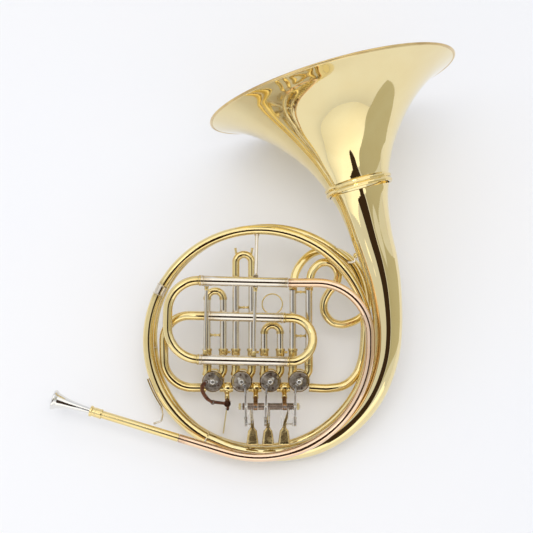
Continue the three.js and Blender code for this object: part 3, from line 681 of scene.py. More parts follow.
line = hoop(state(OUTER, 3.5, 150.2), state(OUTER, 4, 241.3))
ferrule = mirrored([(0, RING_TUBE), (0.1, 6.8), (0.5, 7), (1.3, 7), (1.7, 6.45)], 13)
form = Form()
form.tube(part_of(line, 12.9, length_of(line)), [(0, 6.3), (205, 7.4)], BRASS, sides=28, joints=(0,))
form.tube(part_of(line, 0, 13), ferrule, NICKEL, sides=28, joints=(0, 13))
form.build("ring_front_lower", "horn", "ring_outer_lower")

line = bend([
    (61.4, LINK_Y, LINK_Z), (86, -58.6, -5.4), (105.6, -55, -8), (120.4, -42.5, -12.4), (127.8, -24, -15),
    (130.8, 0, -14.6), (131.5, 25, -13.4), (129.8, 50, -13), (123.5, 76, -12.5), (113, 94.5, INNER_Z),
    (93, 111, INNER_Z),
])
pipe("exit_pipe", "exit_tube", line, INNER_TUBE, BRASS)

line = joined(
    hoop(state((*INNER[:2], 140.2), INNER_Z, 50.4), state(INNER, INNER_Z, 95)),
    hoop(state(INNER, INNER_Z, 95), state(INNER, INNER_Z, 185)),
)
pipe("ring_rear_turn", "ring_inner_upper", line, INNER_TUBE, BRASS)

turns = (
    state(INNER, INNER_Z, 185.2), state(INNER_LOW, INNER_Z, 235), state(INNER_LOW, INNER_Z, 285),
    state((1.5, 2, INNER[2]), -4.4, 330), state((1, *OUTER[1:]), -3.4, 345), state(OUTER, 3, 372),
)
line = joined(*(hoop(start, end) for start, end in zip(turns, turns[1:])))
pipe("ring_rear_lower", "ring_inner_lower", line, [(0, INNER_TUBE), (400, INNER_TUBE), (450, 5.7)], BRASS)

# ---- leadpipe and mouthpiece ----

lead_arc = (0, -4, 134.4)
lead_bend = hoop(state(lead_arc, LEADPIPE_Z, -107), state(lead_arc, LEADPIPE_Z, 0))
to_bend = lead_bend[0] - PIPE_START
seam_at = PIPE_START + to_bend * SEAM
seam_next = PIPE_START + to_bend * (SEAM + 0.003)
line = straight(PIPE_START, seam_at)
pipe("leadpipe_mouth", "leadpipe_inlet", line, [(0, 4.7), (120, 5)], BRASS, wall=WALL, joints=(0, 125))

line = joined(
    straight(seam_next, lead_bend[0]), lead_bend,
    run((134.4, 6.6, LEADPIPE_Z), (134.4, 71.8, LEADPIPE_Z, 64.5), (35.4, 71.8, LEADPIPE_Z)),
)
stages = [(0, 5.1), (150, LEADPIPE_TUBE), (600, LEADPIPE_TUBE)]
pipe("leadpipe_bend", "leadpipe", line, stages, ROSE)

INLET = pose(PIPE_START, -to_bend, (0, 0, 1))
form = Form()
form.turned(INLET, [
    (5.1, -10), (5.9, -10), (6.1, -9.7), (6.1, -8.6), (5.8, -8.3), (5.8, -2.6), (6.1, -2.3), (5.6, -0.5),
    (5.6, 1.5), (6.5, 2.3), (6.7, 2.7), (6.7, 4.7), (6.4, 5), (4.8, 5), (4.5, 0.4), (5.1, 0.4), (5.1, -10),
], BRASS, sides=40)
form.build("receiver_collar", "horn", "mouthpiece_receiver")

cup_outside = bend([(3.5, 2, 0), (4.3, 14, 0), (5, 24, 0), (6.8, 36, 0), (9.6, 46, 0)], 1.5)[:, :2]
cup_inside = bend([
    (9.6, 51.6, 0), (8, 46, 0), (4.6, 34, 0), (2, 24, 0), (1.7, 0, 0), (1.6, -13, 0),
], 1.5)[:, :2]
form = Form()
form.turned(INLET, [
    (1.6, -13), (2.9, -13), (3.05, -12.8), *map(tuple, cup_outside), (10, 46.6), (11.3, 48.3), (12, 49.6),
    (12.2, 50.5), (12.1, 51.3), (11.6, 51.9), (10.8, 52), *map(tuple, cup_inside), (1.6, -13),
], SILVER, sides=56)
form.build("mouthpiece_cup", "mouthpiece", "mouthpiece", smooth=50)

# ---- main slide and its sleeves ----


def sleeve(name, node, start, end):
    line = on_main(straight(start, end))
    length = length_of(line)
    profile = [
        (0, SLEEVE + 0.25), (0.25, SLEEVE + 0.5), (2.2, SLEEVE + 0.5), (2.5, SLEEVE + 0.2), (2.8, SLEEVE),
        (length - 2.3, SLEEVE), (length - 2, SLEEVE + 0.3), (length - 0.3, SLEEVE + 0.3), (length, SLEEVE),
    ]
    part = Form()
    part.tube(line, profile, NICKEL, sides=32, bore=SLEEVE_BORE, joints=(2.6, length - 2.3))
    part.build(name, "horn", node)


sleeve("sleeve_over_lead", "upper_sleeve", (-51, UPPER, MAIN_Z), (53, UPPER, MAIN_Z))
sleeve("sleeve_low", "lower_sleeve", (-51, LOWER, MAIN_Z), (54.4, LOWER, MAIN_Z))
sleeve("sleeve_mid", "inner_sleeve", (48.5, MIDDLE, MIDDLE_Z), (-42, MIDDLE, MIDDLE_Z))


def slide_bow(name, node, body, line, leg_in, leg_out):
    """A slide: nickel legs inside the sleeves, a brass bow with a ferrule at each end outside them."""
    line = on_main(line)
    length = length_of(line)
    span = length - leg_in - leg_out
    bow = mirrored([
        (0, SLIDE_LEG), (0.15, SLEEVE + 0.3), (0.4, SLEEVE + 0.5), (2.2, SLEEVE + 0.5), (2.5, SLEEVE + 0.2),
        (3, BOW),
    ], span)
    part = Form()
    part.tube(part_of(line, leg_in, length - leg_out), bow, BRASS, sides=32, joints=(3, span - 3))
    part.tube(part_of(line, 0, leg_in + 0.1), SLIDE_LEG, NICKEL)
    part.tube(part_of(line, length - leg_out - 0.1, length), SLIDE_LEG, NICKEL)
    part.build(name, body, node)


slide_bow("main_slide_bow", "main_slide", "main_slide", run(
    (-6, UPPER, MAIN_Z), (-90.5, UPPER, MAIN_Z, 37), (-90.5, LOWER, MAIN_Z, 39), (-6, LOWER, MAIN_Z),
), 45.3, 45.3)
half = (MIDDLE - LOWER) / 2
climb = [
    (x, y, MAIN_Z + (MIDDLE_Z - MAIN_Z) * (y - LOWER) / (MIDDLE - LOWER))
    for x, y in circle((59, LOWER + half), half, -90, 90, 61)
]
slide_bow("second_slide_bow", "second_slide", "second_slide", joined(
    straight((14, LOWER, MAIN_Z), (59, LOWER, MAIN_Z)), np.array(climb),
    straight((58.8, MIDDLE, MIDDLE_Z), (14, MIDDLE, MIDDLE_Z)),
), 40.7, 34.8)

line = run(
    (-62.6, 31.5, MIDDLE_Z), (-80, 31.8, MIDDLE_Z, 60), (-116.6, 31.8, 6, 33), (-116.6, -57.4, LINK_Z, 35),
    (ROTOR_X[0] - CASING_RADIUS - 2.4, LINK_Y, LINK_Z),
)
pipe("s_pipe", "s_tube", line, BOW, BRASS, sides=28, joints=(0, 99, length_of(line)))

for name, x in (("strut_left", -44.6), ("strut_right", 14.2)):
    line = on_main(straight((x, LOWER + SLEEVE + 0.5, MAIN_Z), (x, UPPER - SLEEVE - 0.5, MAIN_Z)))
    end = length_of(line)
    foot = [(0, 3.3), (0.5, 3.3), (1.1, 2.6), (2.6, 2.35), (3.6, 2.55), (4.4, 2.35), (5, 2)]
    form = Form()
    form.tube(part_of(line, 0, 5), foot, BRASS, joints=(0,))
    form.tube(part_of(line, 4.9, end - 4.9), 2.05, NICKEL)
    head = [(5 - s, r) for s, r in reversed(foot)]
    form.tube(part_of(line, end - 5, end), head, BRASS, joints=(5,))
    form.build(name + "_rod", "horn", name)

line = straight((-2.5, 136.5 - RING_TUBE - 0.6, 4), (-3.8, 72.9 + SLEEVE + 0.8, MAIN_Z - 1))
stages = mirrored([(0, 3.2), (0.6, 3.2), (1.2, 2.4), (3, 2.1)], length_of(line))
pipe("top_brace_rod", "top_brace", line, stages, NICKEL)

# ---- valves ----


def link_tube(part, start, end, joints):
    """A link between two valves."""
    line = straight((start, LINK_Y, LINK_Z), (end, LINK_Y, LINK_Z))
    part.tube(line, INNER_TUBE, BRASS, sides=28, joints=joints)


for i, x in enumerate(ROTOR_X):
    n = i + 1
    AT = spin_z(x, ROTOR_Y)
    c = x + PORT_OFFSET
    r, (low, high) = CASING_RADIUS, CASING

    # Casing: an open drum with turned lips, two knuckles up to the slide and the link below
    part = Form()
    part.turned(AT, [
        (10.8, low), (r - 0.3, low), (r, low + 0.3), (r, low + 2.2), (r - 0.5, low + 2.7),
        (r - 0.5, high - 3.2), (r, high - 2.7), (r, high - 0.3), (r - 0.3, high), (10.8, high), (10.8, low),
    ], BRASS, sides=56)
    for side in (-1, 1):
        line = run(
            (c + side * LEG_HALF, RECEIVER_FOOT - GAP, LEG_Z), (c + side * LEG_HALF, -37, LEG_Z, 7),
            (x + side * 8.6, ROTOR_Y + 6, LEG_Z),
        )
        part.tube(line, [(0, 5.3), (0.2, 5.5), (1.6, 5.5), (1.9, 5.2), (12, 5.3)], BRASS, joints=(1.7, 10.5))
    drum_edge = math.sqrt(r * r - (LINK_Y - ROTOR_Y) ** 2)
    if i == 0:
        link_tube(part, x - r - 2, x - drum_edge + 1, (0, 5))
    if i < 3:
        end = ROTOR_X[n] - r + 2.6 - GAP
        link_tube(part, x + drum_edge - 1.5, end, (2, end - x - drum_edge))
        half = [(5.4, -5), (5.9, -4.9), (6.2, -4.3), (6.3, -3.4), (6.7, -2.6), (6.9, -1)]
        ring = [*half, *((q, -h) for q, h in reversed(half)), (5.3, 0), (5.4, -5)]
        part.turned(pose(((x + ROTOR_X[n]) / 2, LINK_Y, LINK_Z), (1, 0, 0)), ring, BRASS)
    part.build(f"casing_{n}", "horn", f"valve_{n}_casing")

    # Bearing plate under the stop arm, with its cork block and two corks
    part = Form()
    part.turned(AT, [
        (2.9, high + GAP), (11.6, high + GAP), (11.9, 8.1), (11.9, 8.7), (11.2, 9.3), (10.6, 9.45),
        (10.2, 9.45),
        (9.9, 9.2), (9.6, 9.2), (9.3, 9.45), (6.1, 9.45), (5.9, 9.2), (5.6, 9.2), (5.4, 9.45), (2.9, 9.45),
        (2.9, high + GAP),
    ], STEEL, sides=56)
    rest, sweep = REST_ANGLES[i], SWEEPS[i]
    tail, beyond = rest + 180, math.copysign(32, sweep)
    centre = (x, ROTOR_Y)
    for cx, cy in circle(centre, CORK_CIRCLE, tail - beyond, tail + sweep + beyond, 2):
        cork_profile = [(0, 9.4), (1.35, 9.4), (1.35, 10.2), (1.25, PLATE_TOP), (0, PLATE_TOP)]
        part.turned(pose((cx, cy, 0)), cork_profile, CORK, 18)
    block_at = tail + sweep / 2
    block = circle(centre, 11.5, block_at - 34, block_at + 34, 13)
    block += circle(centre, 9.2, block_at + 34, block_at - 34, 13)
    part.plate(block, 9.35, PLATE_TOP, WORN, 0.15)
    for cx, cy in circle(centre, 10.35, block_at - 24, block_at + 24, 2):
        head = [(0, 10), (0.75, 10), (0.75, 10.2), (0.6, PLATE_TOP), (0, PLATE_TOP)]
        part.turned(pose((cx, cy, 0)), head, BRIGHT, 16)
    part.build(f"bearing_plate_{n}", "horn", f"valve_{n}_plate")

    # Screwed back cap with a knurled edge
    part = Form()
    part.turned(AT, [
        (0, -24), (7.2, -24), (7.5, -23.75), (8.1, -23.75), (8.4, -24), (11.9, -24), (12.2, -23.8),
        (13.15, -23.1), (13.4, -22.8), (13.4, -19.2), (13.15, -18.9), (12.9, low - GAP), (0, low - GAP),
    ], BRASS, sides=144, flutes=48, depth=0.03)
    part.build(f"back_cap_{n}", "horn", f"valve_{n}_cap", smooth=30)

    # Rotor: spindle, slotted screw, stop arm with a boss at each end, and the pin
    reach = THUMB_PIN_RADIUS if i == 0 else PIN_RADIUS
    turn = math.radians(rest)
    pin = (x + reach * math.cos(turn), ROTOR_Y + reach * math.sin(turn))
    part = Form()
    foot = low + GAP
    part.turned(AT, [
        (0, foot), (10.1, foot), (10.4, foot + 0.3), (10.4, 6.7), (10.1, 7), (2.5, 7), (2.5, 10.75),
        (0, 10.75),
    ], BRASS, sides=40)
    part.turned(AT, boss(4.2, 10.7, 13), BRIGHT)
    part.turned(AT, [(0, 12.9), (3.3, 12.9), (3.3, 13.3), (2.9, 13.8), (2.0, 14.15), (0, 14.3)], BRIGHT)
    part.screw(spin_z(x, ROTOR_Y, rest, 14.1), 1.7, 0.7)
    # The arm's outline, along x: the round end over the pin, then the waist and the short tail
    side = [(3.4, 1.7), (-3.6, 1.9), (-6.4, 1.2)]
    arm = [*circle((reach, 0), 2.1, -90, 90, 9), *side, *((u, -v) for u, v in reversed(side))]
    part.plate(arm, 10.85, 12.7, ARM, 0.3, spin_z(x, ROTOR_Y, rest))
    part.turned(pose((*pin, 0)), [(0, 12.5), (1.6, 12.5), (1.6, 13.3), (1.35, 13.6), (0, 13.7)], BRIGHT, 20)
    part.build(f"rotor_{n}_arm", f"rotor_{n}", f"valve_{n}_rotor")

# ---- valve slides ----


def cross_brace(part, left, right, y):
    """A small turned brace between two legs, with a foot at each end and a bead in the middle."""
    line = straight((left + 3.9, y, LEG_Z), (right - 3.9, y, LEG_Z))
    w = length_of(line)
    foot = [(0, 2.5), (0.7, 2.5), (1.3, 1.5), (w / 2 - 1.6, 1.2), (w / 2 - 0.8, 1.8)]
    part.tube(line, mirrored(foot, w, middle=2), BRASS, sides=18, joints=(0, w))


for i, x in enumerate(ROTOR_X):
    n = i + 1
    c = x + PORT_OFFSET
    left, right = c - LEG_HALF, c + LEG_HALF
    part = Form()
    span = RECEIVER_TOP - RECEIVER_FOOT
    for rx in (left, right):
        line = straight((rx, RECEIVER_FOOT, LEG_Z), (rx, RECEIVER_TOP, LEG_Z))
        part.tube(line, [
            (0, 5.3), (0.2, 5.5), (1.4, 5.5), (1.7, 5.3), (span - 3, 5.3), (span - 2.7, 5.8), (span - 2.4, 6),
            (span - 0.5, 6), (span, 5.7),
        ], BRASS, sides=28, bore=RECEIVER_BORE, joints=(1.6, span - 3))
    bridge = mirrored([(0, 2.6), (0.8, 2.6), (1.2, 1.5), (3.4, 1.35), (4.1, 1.9)], 9.8, middle=2.1)
    line = straight((left + 4.9, -22, LEG_Z), (right - 4.9, -22, LEG_Z))
    part.tube(line, bridge, BRASS, sides=18, joints=(0, 9.8))
    if i < 3:
        start, end = c + LEG_HALF + 5, ROTOR_X[n] + PORT_OFFSET - LEG_HALF - RECEIVER_TUBE - 0.5 - GAP
        w = end - start
        part.tube(straight((start, -14, LEG_Z), (end, -14, LEG_Z)), [
            (0, 2.4), (0.6, 2.4), (0.9, 1.5), (w / 2 - 0.7, 1.4), (w / 2, 1.9), (w / 2 + 0.7, 1.4),
            (w - 0.4, 1.6), (w, 1.7),
        ], BRASS, sides=18, joints=(0, w))
    part.build(f"receivers_{n}", "horn", f"slide_{n}_receivers")

    foot, height = RECEIVER_FOOT + 3, BOW_HEIGHT[i]
    if i < 3:
        line = run(
            (left, foot, LEG_Z), (left, height + LEG_HALF, LEG_Z, LEG_HALF),
            (right, height + LEG_HALF, LEG_Z, LEG_HALF), (right, foot, LEG_Z),
        )
        whole = length_of(line)
        brass_from = (height - foot) - (1 if i != 1 else 26)
        part = Form()
        for start, end in ((0, brass_from), (whole - brass_from, whole)):
            part.tube(part_of(line, start, end), [(0, VALVE_LEG), (10, VALVE_LEG)], NICKEL, sides=28)
        bow = part_of(line, brass_from - 0.05, whole - brass_from + 0.05)
        w = length_of(bow)
        rim = [(0, VALVE_LEG + 0.1), (0.2, 4.95), (2.4, 4.95), (2.7, VALVE_LEG + 0.15)]
        part.tube(bow, mirrored(rim, w), BRASS, sides=28, joints=(2.7, w - 2.7))
        if i != 2:
            cross_brace(part, left, right, (7, 41)[i])
        top = height + LEG_HALF
        if i == 1:
            # Two nubs to pull it by
            for dx in (-8.8, 8.8):
                nub = straight((c + dx, top - 3, LEG_Z), (c + dx * 1.18, top + 8, LEG_Z))
                part.tube(nub, [(0, 1.5), (9.2, 1.5), (9.5, 1.7), (10.7, 1.7), (11.3, 1.3)], BRASS, sides=18)
        if i == 2:
            # Pull ring on a short stem
            stem = [(0, 1.5), (3, 1.5), (3.6, 1.2), (9.6, 1.2), (10.4, 1.5), (11.8, 1.3)]
            part.tube(straight((c, top + 2, LEG_Z), (c, top + 13.8, LEG_Z)), stem, BRASS, sides=18)
            part.turned(pose((c, top + 25.8, LEG_Z)), circle((12.4, 0), 0.85, 0, 360, 17), BRASS, sides=96)
        part.build(f"valve_slide_{n}", f"slide_{n}", f"slide_{n}")
    else:
        loop = bend([
            (left, height, LEG_Z), (left + 3, 82, -8), (53.2, 97, -14), (66.8, 108, -21),
            (81.6, 111.8, -25.5),
            (97, 110, -27), (112, 102, -27), (126, 87, -27), (134, 69, -27), (137, 51, -27), (134, 36, -27),
            (126, 27, -26.5), (115, 21.4, -25), (102.7, 19, -23), (90.3, 22.7, -20.5), (81.6, 33.8, -18),
            (80.4, 46.2, -16), (86.6, 59.8, -14), (95.3, 70, -12.5), (97.7, 82.1, -11), (92.8, 92, -10),
            (84.1, 96.6, -9), (74, 94.5, -7.5), (65, 84, -5.5), (right, height, LEG_Z),
        ])
        w = length_of(loop)
        part = Form()
        rim = [(0, VALVE_LEG + 0.1), (0.2, 5.2), (2.6, 5.2), (2.9, 4.95), (3.4, 5.1)]
        part.tube(loop, mirrored(rim, w), BRASS, sides=28, joints=(2.9, w - 2.9))
        for rx in (left, right):
            part.tube(straight((rx, foot, LEG_Z), (rx, height + 0.2, LEG_Z)), VALVE_LEG, NICKEL, sides=28)
        cross_brace(part, left, right, 6)
        cross_brace(part, left, right, 60)
        part.build("extension_loop_pipe", "horn", "extension_loop")

# ---- finger levers ----

hy, hz = HINGE_Y, HINGE_Z
by, bz = BALL_Y, BALL_Z


def on_hinge(part, start, end, foot, material, sides=28, bore=0):
    """A turned piece on the hinge rod, alike at both ends."""
    line = straight((start, hy, hz), (end, hy, hz))
    part.tube(line, mirrored(foot, end - start), material, sides=sides, bore=bore)


part = Form()
part.tube(straight((HINGE_ENDS[0], hy, hz), (HINGE_ENDS[1], hy, hz)), 1.45, BRIGHT, sides=20)
for x in HINGE_ENDS:
    block = [(x - 1.5, hy - 3.5), (x + 1.5, hy - 3.5), (x + 1.5, hy + 3.5), (x - 1.5, hy + 3.5)]
    part.plate(block, hz - 3.5, hz + 3.5, SATIN, 0.5)
    side = -1 if x < 0 else 1
    part.screw(pose((x + side * 1.45, hy, hz), (side, 0, 0)), 2.2, 0.9)
for x in (-4, 31):
    post = run((x, LINK_Y - 4.2, LINK_Z + 5.6), (x, -66, 8, 12), (x, hy, hz))
    foot = [(0, 3.6), (0.8, 3.6), (1.6, 3.1), (4, 3), (10, 2.9), (10.3, 3.4), (12.6, 3.4), (13, 2.9)]
    part.tube(part_of(post, 0, 13), foot, BRASS, joints=(0, 10))
    part.tube(part_of(post, 12.9, length_of(post)), 2.75, AMBER)
    eye = straight((x - 2.6, hy, hz), (x + 2.6, hy, hz))
    part.tube(eye, mirrored([(0, 4.1), (0.4, 4.5)], 5.2), AMBER, sides=28)
    part.screw(pose((x, hy, hz + 4.2)), 1.9, 0.9, turn=70)
for start, end in ((-19.6, -17.2), (-0.8, 6.4)):
    on_hinge(part, start, end, [(0, 3.8), (0.3, 4.1)], BARREL)
part.build("lever_hinge", "horn", "lever_bracket")

LEVERS = (
    {"barrel": (-13.4, -7), "arm": -8.8, "paddle": -7.7, "rod": -15.8},
    {"barrel": (10.8, 28), "arm": 12.2, "paddle": 11, "rod": 7.9},
    {"barrel": (34, 41.8), "arm": 35.6, "paddle": 30.4, "rod": 43.9},
)
for i, lever in enumerate(LEVERS):
    n = i + 1
    a, b = lever["barrel"]
    paddle, arm, rod_x = lever["paddle"], lever["arm"], lever["rod"]
    part = Form()
    on_hinge(part, a, b, [(0, 3.9), (0.3, 4.2), (1.2, 4.2), (1.4, 3.6)], BARREL, sides=32, bore=2.1)
    coil_length = b - a - 3.4
    part.coil(pose((a + 1.7, hy, hz), (1, 0, 0)), 3.75, 0.36, coil_length, round(coil_length / 0.95), BARREL)
    # The two legs of the return spring, from the coil on the barrel down along the shank
    for spring_x, lean in ((a + 1.4, -0.6), (b - 1.4, 0.6)):
        leg = run(
            (spring_x, hy, hz + 3.4), (spring_x, hy - 4.2, hz + 1.5, 2), (spring_x + lean, hy - 24, hz - 1.8),
        )
        part.tube(leg, 0.42, BRIGHT, sides=10)

    # The shank swings over from the barrel to the touch piece, whose top is domed
    shank = [(arm - 1.3, hy - 2), (arm + 1.3, hy - 2)]
    for side, course in ((1, np.linspace(0.15, 1, 7)), (-1, np.linspace(1, 0.15, 7))):
        start = arm + side * 1.3
        for t in course:
            swing = t * t * (3 - 2 * t)
            shank.append((start + (paddle + side * 2 - start) * swing, hy - 2 + (SHANK_FOOT - hy + 2) * t))
    part.plate(shank, hz - 3.2, hz - 0.8, WORN, 0.4)
    touch = [
        (2.4, -101.5), (3.2, -103.6), (4.6, -105), (5.3, -106.2), (6.3, -113), (7.2, -121.2), (7.1, -122.3),
        (6.6, -123), (5.8, -123.4),
    ]
    touch += [(-u, v) for u, v in reversed(touch)]
    dome = [
        (hz - 1.4 + 0.78 * math.sin(a), 0.55 + 3.2 * (1 - math.cos(a))) for a in np.radians(range(15, 91, 15))
    ]
    part.plate([(paddle + u, v) for u, v in touch], hz - 3.2, hz - 1.4, WORN, 0.55, crown=dome)

    # A hanger under the touch piece carries the ball joint's arm
    hanger = [
        (by - 3, hz - 1.4), (by - 2, bz - 1.4), (by - 1.2, bz - 2), (by + 1.2, bz - 2), (by + 2, bz - 1.4),
        (by + 3, hz - 1.4),
    ]
    part.plate(hanger, 0, 2, BRIGHT, 0.3, pose((paddle - 1, 0, 0), (1, 0, 0), (0, 1, 0)))
    ball_x = rod_x - math.copysign(1.9, rod_x - paddle)
    reach = abs(ball_x - paddle)
    ball_arm = [(0, 1.1), (reach - 2.2, 1.1), (reach - 2, 1.7), (reach - 0.4, 1.7), (reach, 1.3)]
    part.tube(straight((paddle, by, bz), (ball_x, by, bz)), ball_arm, BRIGHT, sides=18)
    part.build(f"finger_lever_{n}", f"lever_{n}", f"lever_{n}")

    # Push rod: socket on the ball joint, adjusting rod with lock nuts, eye over the stop arm's pin
    pin, = circle((ROTOR_X[n], ROTOR_Y), PIN_RADIUS, REST_ANGLES[n], REST_ANGLES[n], 1)
    part = Form()
    socket = straight((rod_x - 1.4, by, bz), (rod_x + 1.4, by, bz))
    part.tube(socket, mirrored([(0, 2.2), (0.35, 2.6)], 2.8), ROD)
    stem = straight((rod_x, by + 1.5, bz), (*pin, PIN_Z + 1.2))
    w = length_of(stem)
    part.tube(stem, [
        (0, 1.6), (5, 1.6), (5.4, 1.9), (7, 1.9), (7.3, 1.0), (w - 8.3, 1.0), (w - 8, 1.9), (w - 6.4, 1.9),
        (w - 6, 1.5), (w - 2, 1.5), (w, 1.2),
    ], ROD, sides=18)
    eye = [(0, 0), (2.3, 0), (2.6, 0.3), (2.6, 2), (2.3, 2.25), (0, 2.25)]
    part.turned(pose((*pin, PIN_Z)), eye, ROD, sides=28)
    part.screw(pose((*pin, PIN_Z + 2)), 1.5, 0.6, turn=115)
    part.build(f"push_rod_{n}", f"rod_{n}", f"rod_{n}")

# ---- thumb lever ----

tx, ty = THUMB_PIVOT
jx, jy = THUMB_JOINT
part = Form()
post = run((-39.4, LINK_Y - 5, LINK_Z + 4.4), (-39, -67, 4, 5), (tx, ty, 4))
foot = [(0, 3.4), (0.8, 3.4), (1.6, 2.8), (6, 2.7), (6.4, 3.1), (8, 3.1), (8.4, 2.8)]
part.tube(part_of(post, 0, 8.4), foot, BRASS, joints=(0, 7))
part.tube(part_of(post, 8.3, length_of(post)), 2.75, AMBER)
part.turned(pose((tx, ty, 0)), [
    (0, -4.5), (1.9, -4.5), (2.2, -4.2), (2.2, 0), (3.7, 0), (4, 0.3), (4, 7.7), (3.7, 8), (2.2, 8.2),
    (2.2, 11.8), (2, 12), (0, 12),
], BRONZE)
part.build("thumb_pivot_post", "horn", "thumb_post")

part = Form()
part.turned(pose((tx, ty, 0)), boss(4.2, 8.8, 12, bore=2.6), BRONZE)
arm = straight((tx - 3, ty + 0.3, 10.2), (jx, jy, 10.2))
part.tube(arm, [(0, 2.1), (3, 1.9), (14.6, 1.9)], BRONZE, sides=20)
part.turned(pose((jx, jy, 0)), boss(2.6, 8.8, 12), BRONZE, sides=28)
part.tube(straight((tx + 1, ty - 3.2, 10.4), (tx + 0.6, ty - 7, 10.4)), 1.6, BRONZE, sides=20)
part.tube(straight((tx + 0.6, ty - 6.8, 10.4), (tx - 1.4, ty - 9, -10)), 1.6, BRONZE, sides=20)
blade = [(-0.8, -16), (0.8, -16), (0.8, 16), (-0.8, 16)]
part.plate(blade, -17.5, -4.5, SATIN, 0.3, spin_z(-42, -98.5, -8))
part.build("thumb_key", "thumb_lever", "thumb_lever")

part = Form()
t_pin = (ROTOR_X[0] - THUMB_PIN_RADIUS, ROTOR_Y)
LINK_ARM_Z = 15.2
arc = bend([
    (x, y, LINK_ARM_Z) for x, y in (THUMB_JOINT, (-62.5, -69), (-68.3, -60), (-68.6, -53), t_pin)
], 1)
w = length_of(arc)
part.tube(arc, [(0, 1.9), (w * 0.12, 1.9), (w * 0.3, 2.3), (w * 0.8, 2.3), (w, 2.0)], BRONZE, sides=20)
for at, low in ((THUMB_JOINT, 12.4), (t_pin, 13.6)):
    part.turned(pose((*at, 0)), boss(2.6, low, 16.3), BRONZE, sides=28)
    part.screw(pose((*at, 16)), 1.7, 0.75, turn=40)
part.build("thumb_link_arm", "thumb_link", "thumb_link")

# ---- braces ----

part = Form()
saddle = circle(OUTER[:2], 143.1, 199, 214.5, 22) + circle(OUTER[:2], 144.7, 214.5, 199, 22)
part.plate(saddle, 1, 7, BRASS, 0.35)
wire = run((-119.6, -81, 4), (-117.5, -89, 10, 5), (-118.5, -96, 17, 4), (-127, -98.2, 20.8))
w = length_of(wire)
part.tube(wire, [(0, 1.4), (w - 2.5, 1.35), (w, 1.4)], NICKEL, sides=20, joints=(0, w))
part.build("leadpipe_stay", "horn", "leadpipe_brace")

part = Form()
wire = run((116.8, 104.5, 12), (117, 97, 9, 4), (108.6, 96.4, 6))
part.tube(wire, [(0, 1.4), (length_of(wire), 1.4)], NICKEL, sides=20, joints=(0, length_of(wire)))
part.tube(straight((118.6, 105, 12), (115, 104, 12)), [(0, 3.2), (0.4, 3.4), (2, 3.3), (3.6, 1.6)], BRASS)
part.build("bell_stay", "horn", "bell_brace")

# ---- floor, light and camera ----


def stage_face(name, corners, material):
    """One flat face of the set, with its corners in the world."""
    mesh = bpy.data.meshes.new(name)
    mesh.from_pydata(corners, [], [tuple(range(len(corners)))])
    mesh.materials.append(material)
    obj = bpy.data.objects.new(name, mesh)
    bpy.context.scene.collection.objects.link(obj)
    return obj


paper = Nodes("floor_paper")
tone = paper.mix(paper.remap(paper.noise(2.2, 2), 0.3, 0.7), (0.90, 0.89, 0.885), (0.885, 0.885, 0.895))
paper.link(tone, paper.shader.inputs["Base Color"])
paper.shader.inputs["Roughness"].default_value = 0.75
paper.link(paper.bump(paper.noise(700, 4), 0.08, 0.0002), paper.shader.inputs["Normal"])
edge = 4.5
corners = [(-edge, -edge, 0), (edge, -edge, 0), (edge, edge, 0), (-edge, edge, 0)]
floor = stage_face("floor", corners, paper.material)
floor.location = (0, 0, -0.0005)
floor.rotation_euler = (0, 0, math.pi)

LOOK_AT = place([*LOOK_AT_XY, 0])
EYE = place([*LOOK_AT_XY, EYE_HEIGHT])


def card(name, corners, shade, upper=None):
    """A glowing card seen only in reflections, where it paints a reflection and lights nothing; its corners
    in the horn's axes. Upwards, shade turns to upper.
    """
    m = Nodes(name)
    glow = m.add("ShaderNodeEmission")
    split = m.add("ShaderNodeSeparateXYZ")
    m.link(m.coords, split.inputs[0])
    m.link(m.mix(m.remap(split.outputs["Z"], 0, 2.2), shade, upper or shade), glow.inputs["Color"])
    glow.inputs["Strength"].default_value = 1
    m.link(glow.outputs[0], m.tree.nodes["Material Output"].inputs["Surface"])
    obj = stage_face(name, place(corners).tolist(), m.material)
    for ray in ("camera", "diffuse", "shadow", "transmission", "volume_scatter"):
        setattr(obj, f"visible_{ray}", False)
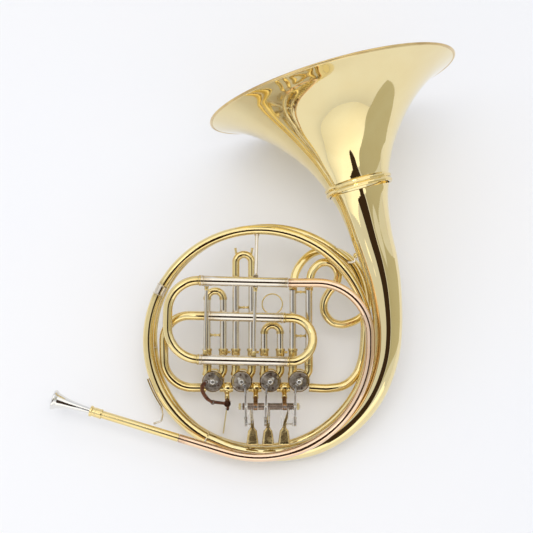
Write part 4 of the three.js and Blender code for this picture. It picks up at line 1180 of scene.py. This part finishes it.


# Cards that only paint reflections and light nothing: the dark line on the tubes from the person at the
# camera, a dim streak down the bell's right side, a white wall beyond the horn's foot and a bright window
dark_reflection_z, streak_reflection_x, wall_y = 1480, 560, -3500
# Painted reflection: a dark card for the person at the camera, giving the dark line along the tubes
card("painted_dark_reflection", [(x, y, dark_reflection_z) for x, y in (
    (-330, 400), (560, 400), (600, -850), (520, -1230), (400, -1230), (140, -800), (-330, -800),
)], (0.045, 0.027, 0.017))
# Painted reflection: a dim card to the right, darker upwards, for the dark streak down the bell's right side
card("painted_streak_reflection", [(streak_reflection_x, y, z) for y, z in (
    (-50, -100), (150, -100), (150, 380), (40, 520), (40, 1150), (-430, 1150), (-230, 500),
)], (0.57, 0.55, 0.45), (0.40, 0.37, 0.29))
# Painted reflection: a glowing white wall, brighter upwards
card("painted_wall_reflection", [(x, wall_y, z) for x, z in (
    (-6000, -100), (6000, -100), (6000, 6000), (-6000, 6000),
)], (0.89, 0.885, 0.87), (1.38, 1.35, 1.29))
# Painted reflection: a glowing window over the horn
card("painted_window_reflection", [
    (-1400, 430, 1480), (1600, 430, 1480), (1900, 2400, 1300), (-1700, 2400, 1300),
], (1.22, 1.21, 1.18))


def softbox(name, size, at, power, colour, glossy):
    """A rectangular light, its place in the horn's axes, turned to the horn."""
    light = bpy.data.lights.new(name, "AREA")
    light.shape = "RECTANGLE"
    light.size, light.size_y = size
    light.energy = power
    light.color = colour
    obj = bpy.data.objects.new(name, light)
    spot = Vector(place(at))
    obj.location = spot
    obj.rotation_euler = (spot - Vector(LOOK_AT)).to_track_quat("Z", "Y").to_euler()
    bpy.context.scene.collection.objects.link(obj)
    obj.visible_glossy = glossy


softbox("window_light", (2.6, 1.8), (300, 1250, 1900), 5, (1.0, 0.985, 0.96), False)
softbox("front_light", (1.6, 1.0), (0, 620, 2300), 12, (1.0, 0.99, 0.97), True)
softbox("fill_light", (1.8, 1.4), (-1500, -100, 1500), 4, (0.97, 0.98, 1.0), False)

world = bpy.data.worlds.new("studio")
world.use_nodes = True
sky = world.node_tree.nodes["Background"]
sky.inputs["Color"].default_value = (0.93, 0.95, 1.0, 1)
sky.inputs["Strength"].default_value = 0.82
bpy.context.scene.world = world
bpy.context.scene.view_settings.view_transform = "Standard"

lens = bpy.data.cameras.new("camera")
lens.sensor_width = 36
lens.lens = LENS
lens.dof.use_dof = False
camera = bpy.data.objects.new("camera", lens)
camera.matrix_world = Matrix([(RIGHT[k], UP[k], OUT[k], EYE[k]) for k in range(3)] + [(0, 0, 0, 1)])
bpy.context.scene.collection.objects.link(camera)
bpy.context.scene.camera = camera

low, high = CAD_BOX
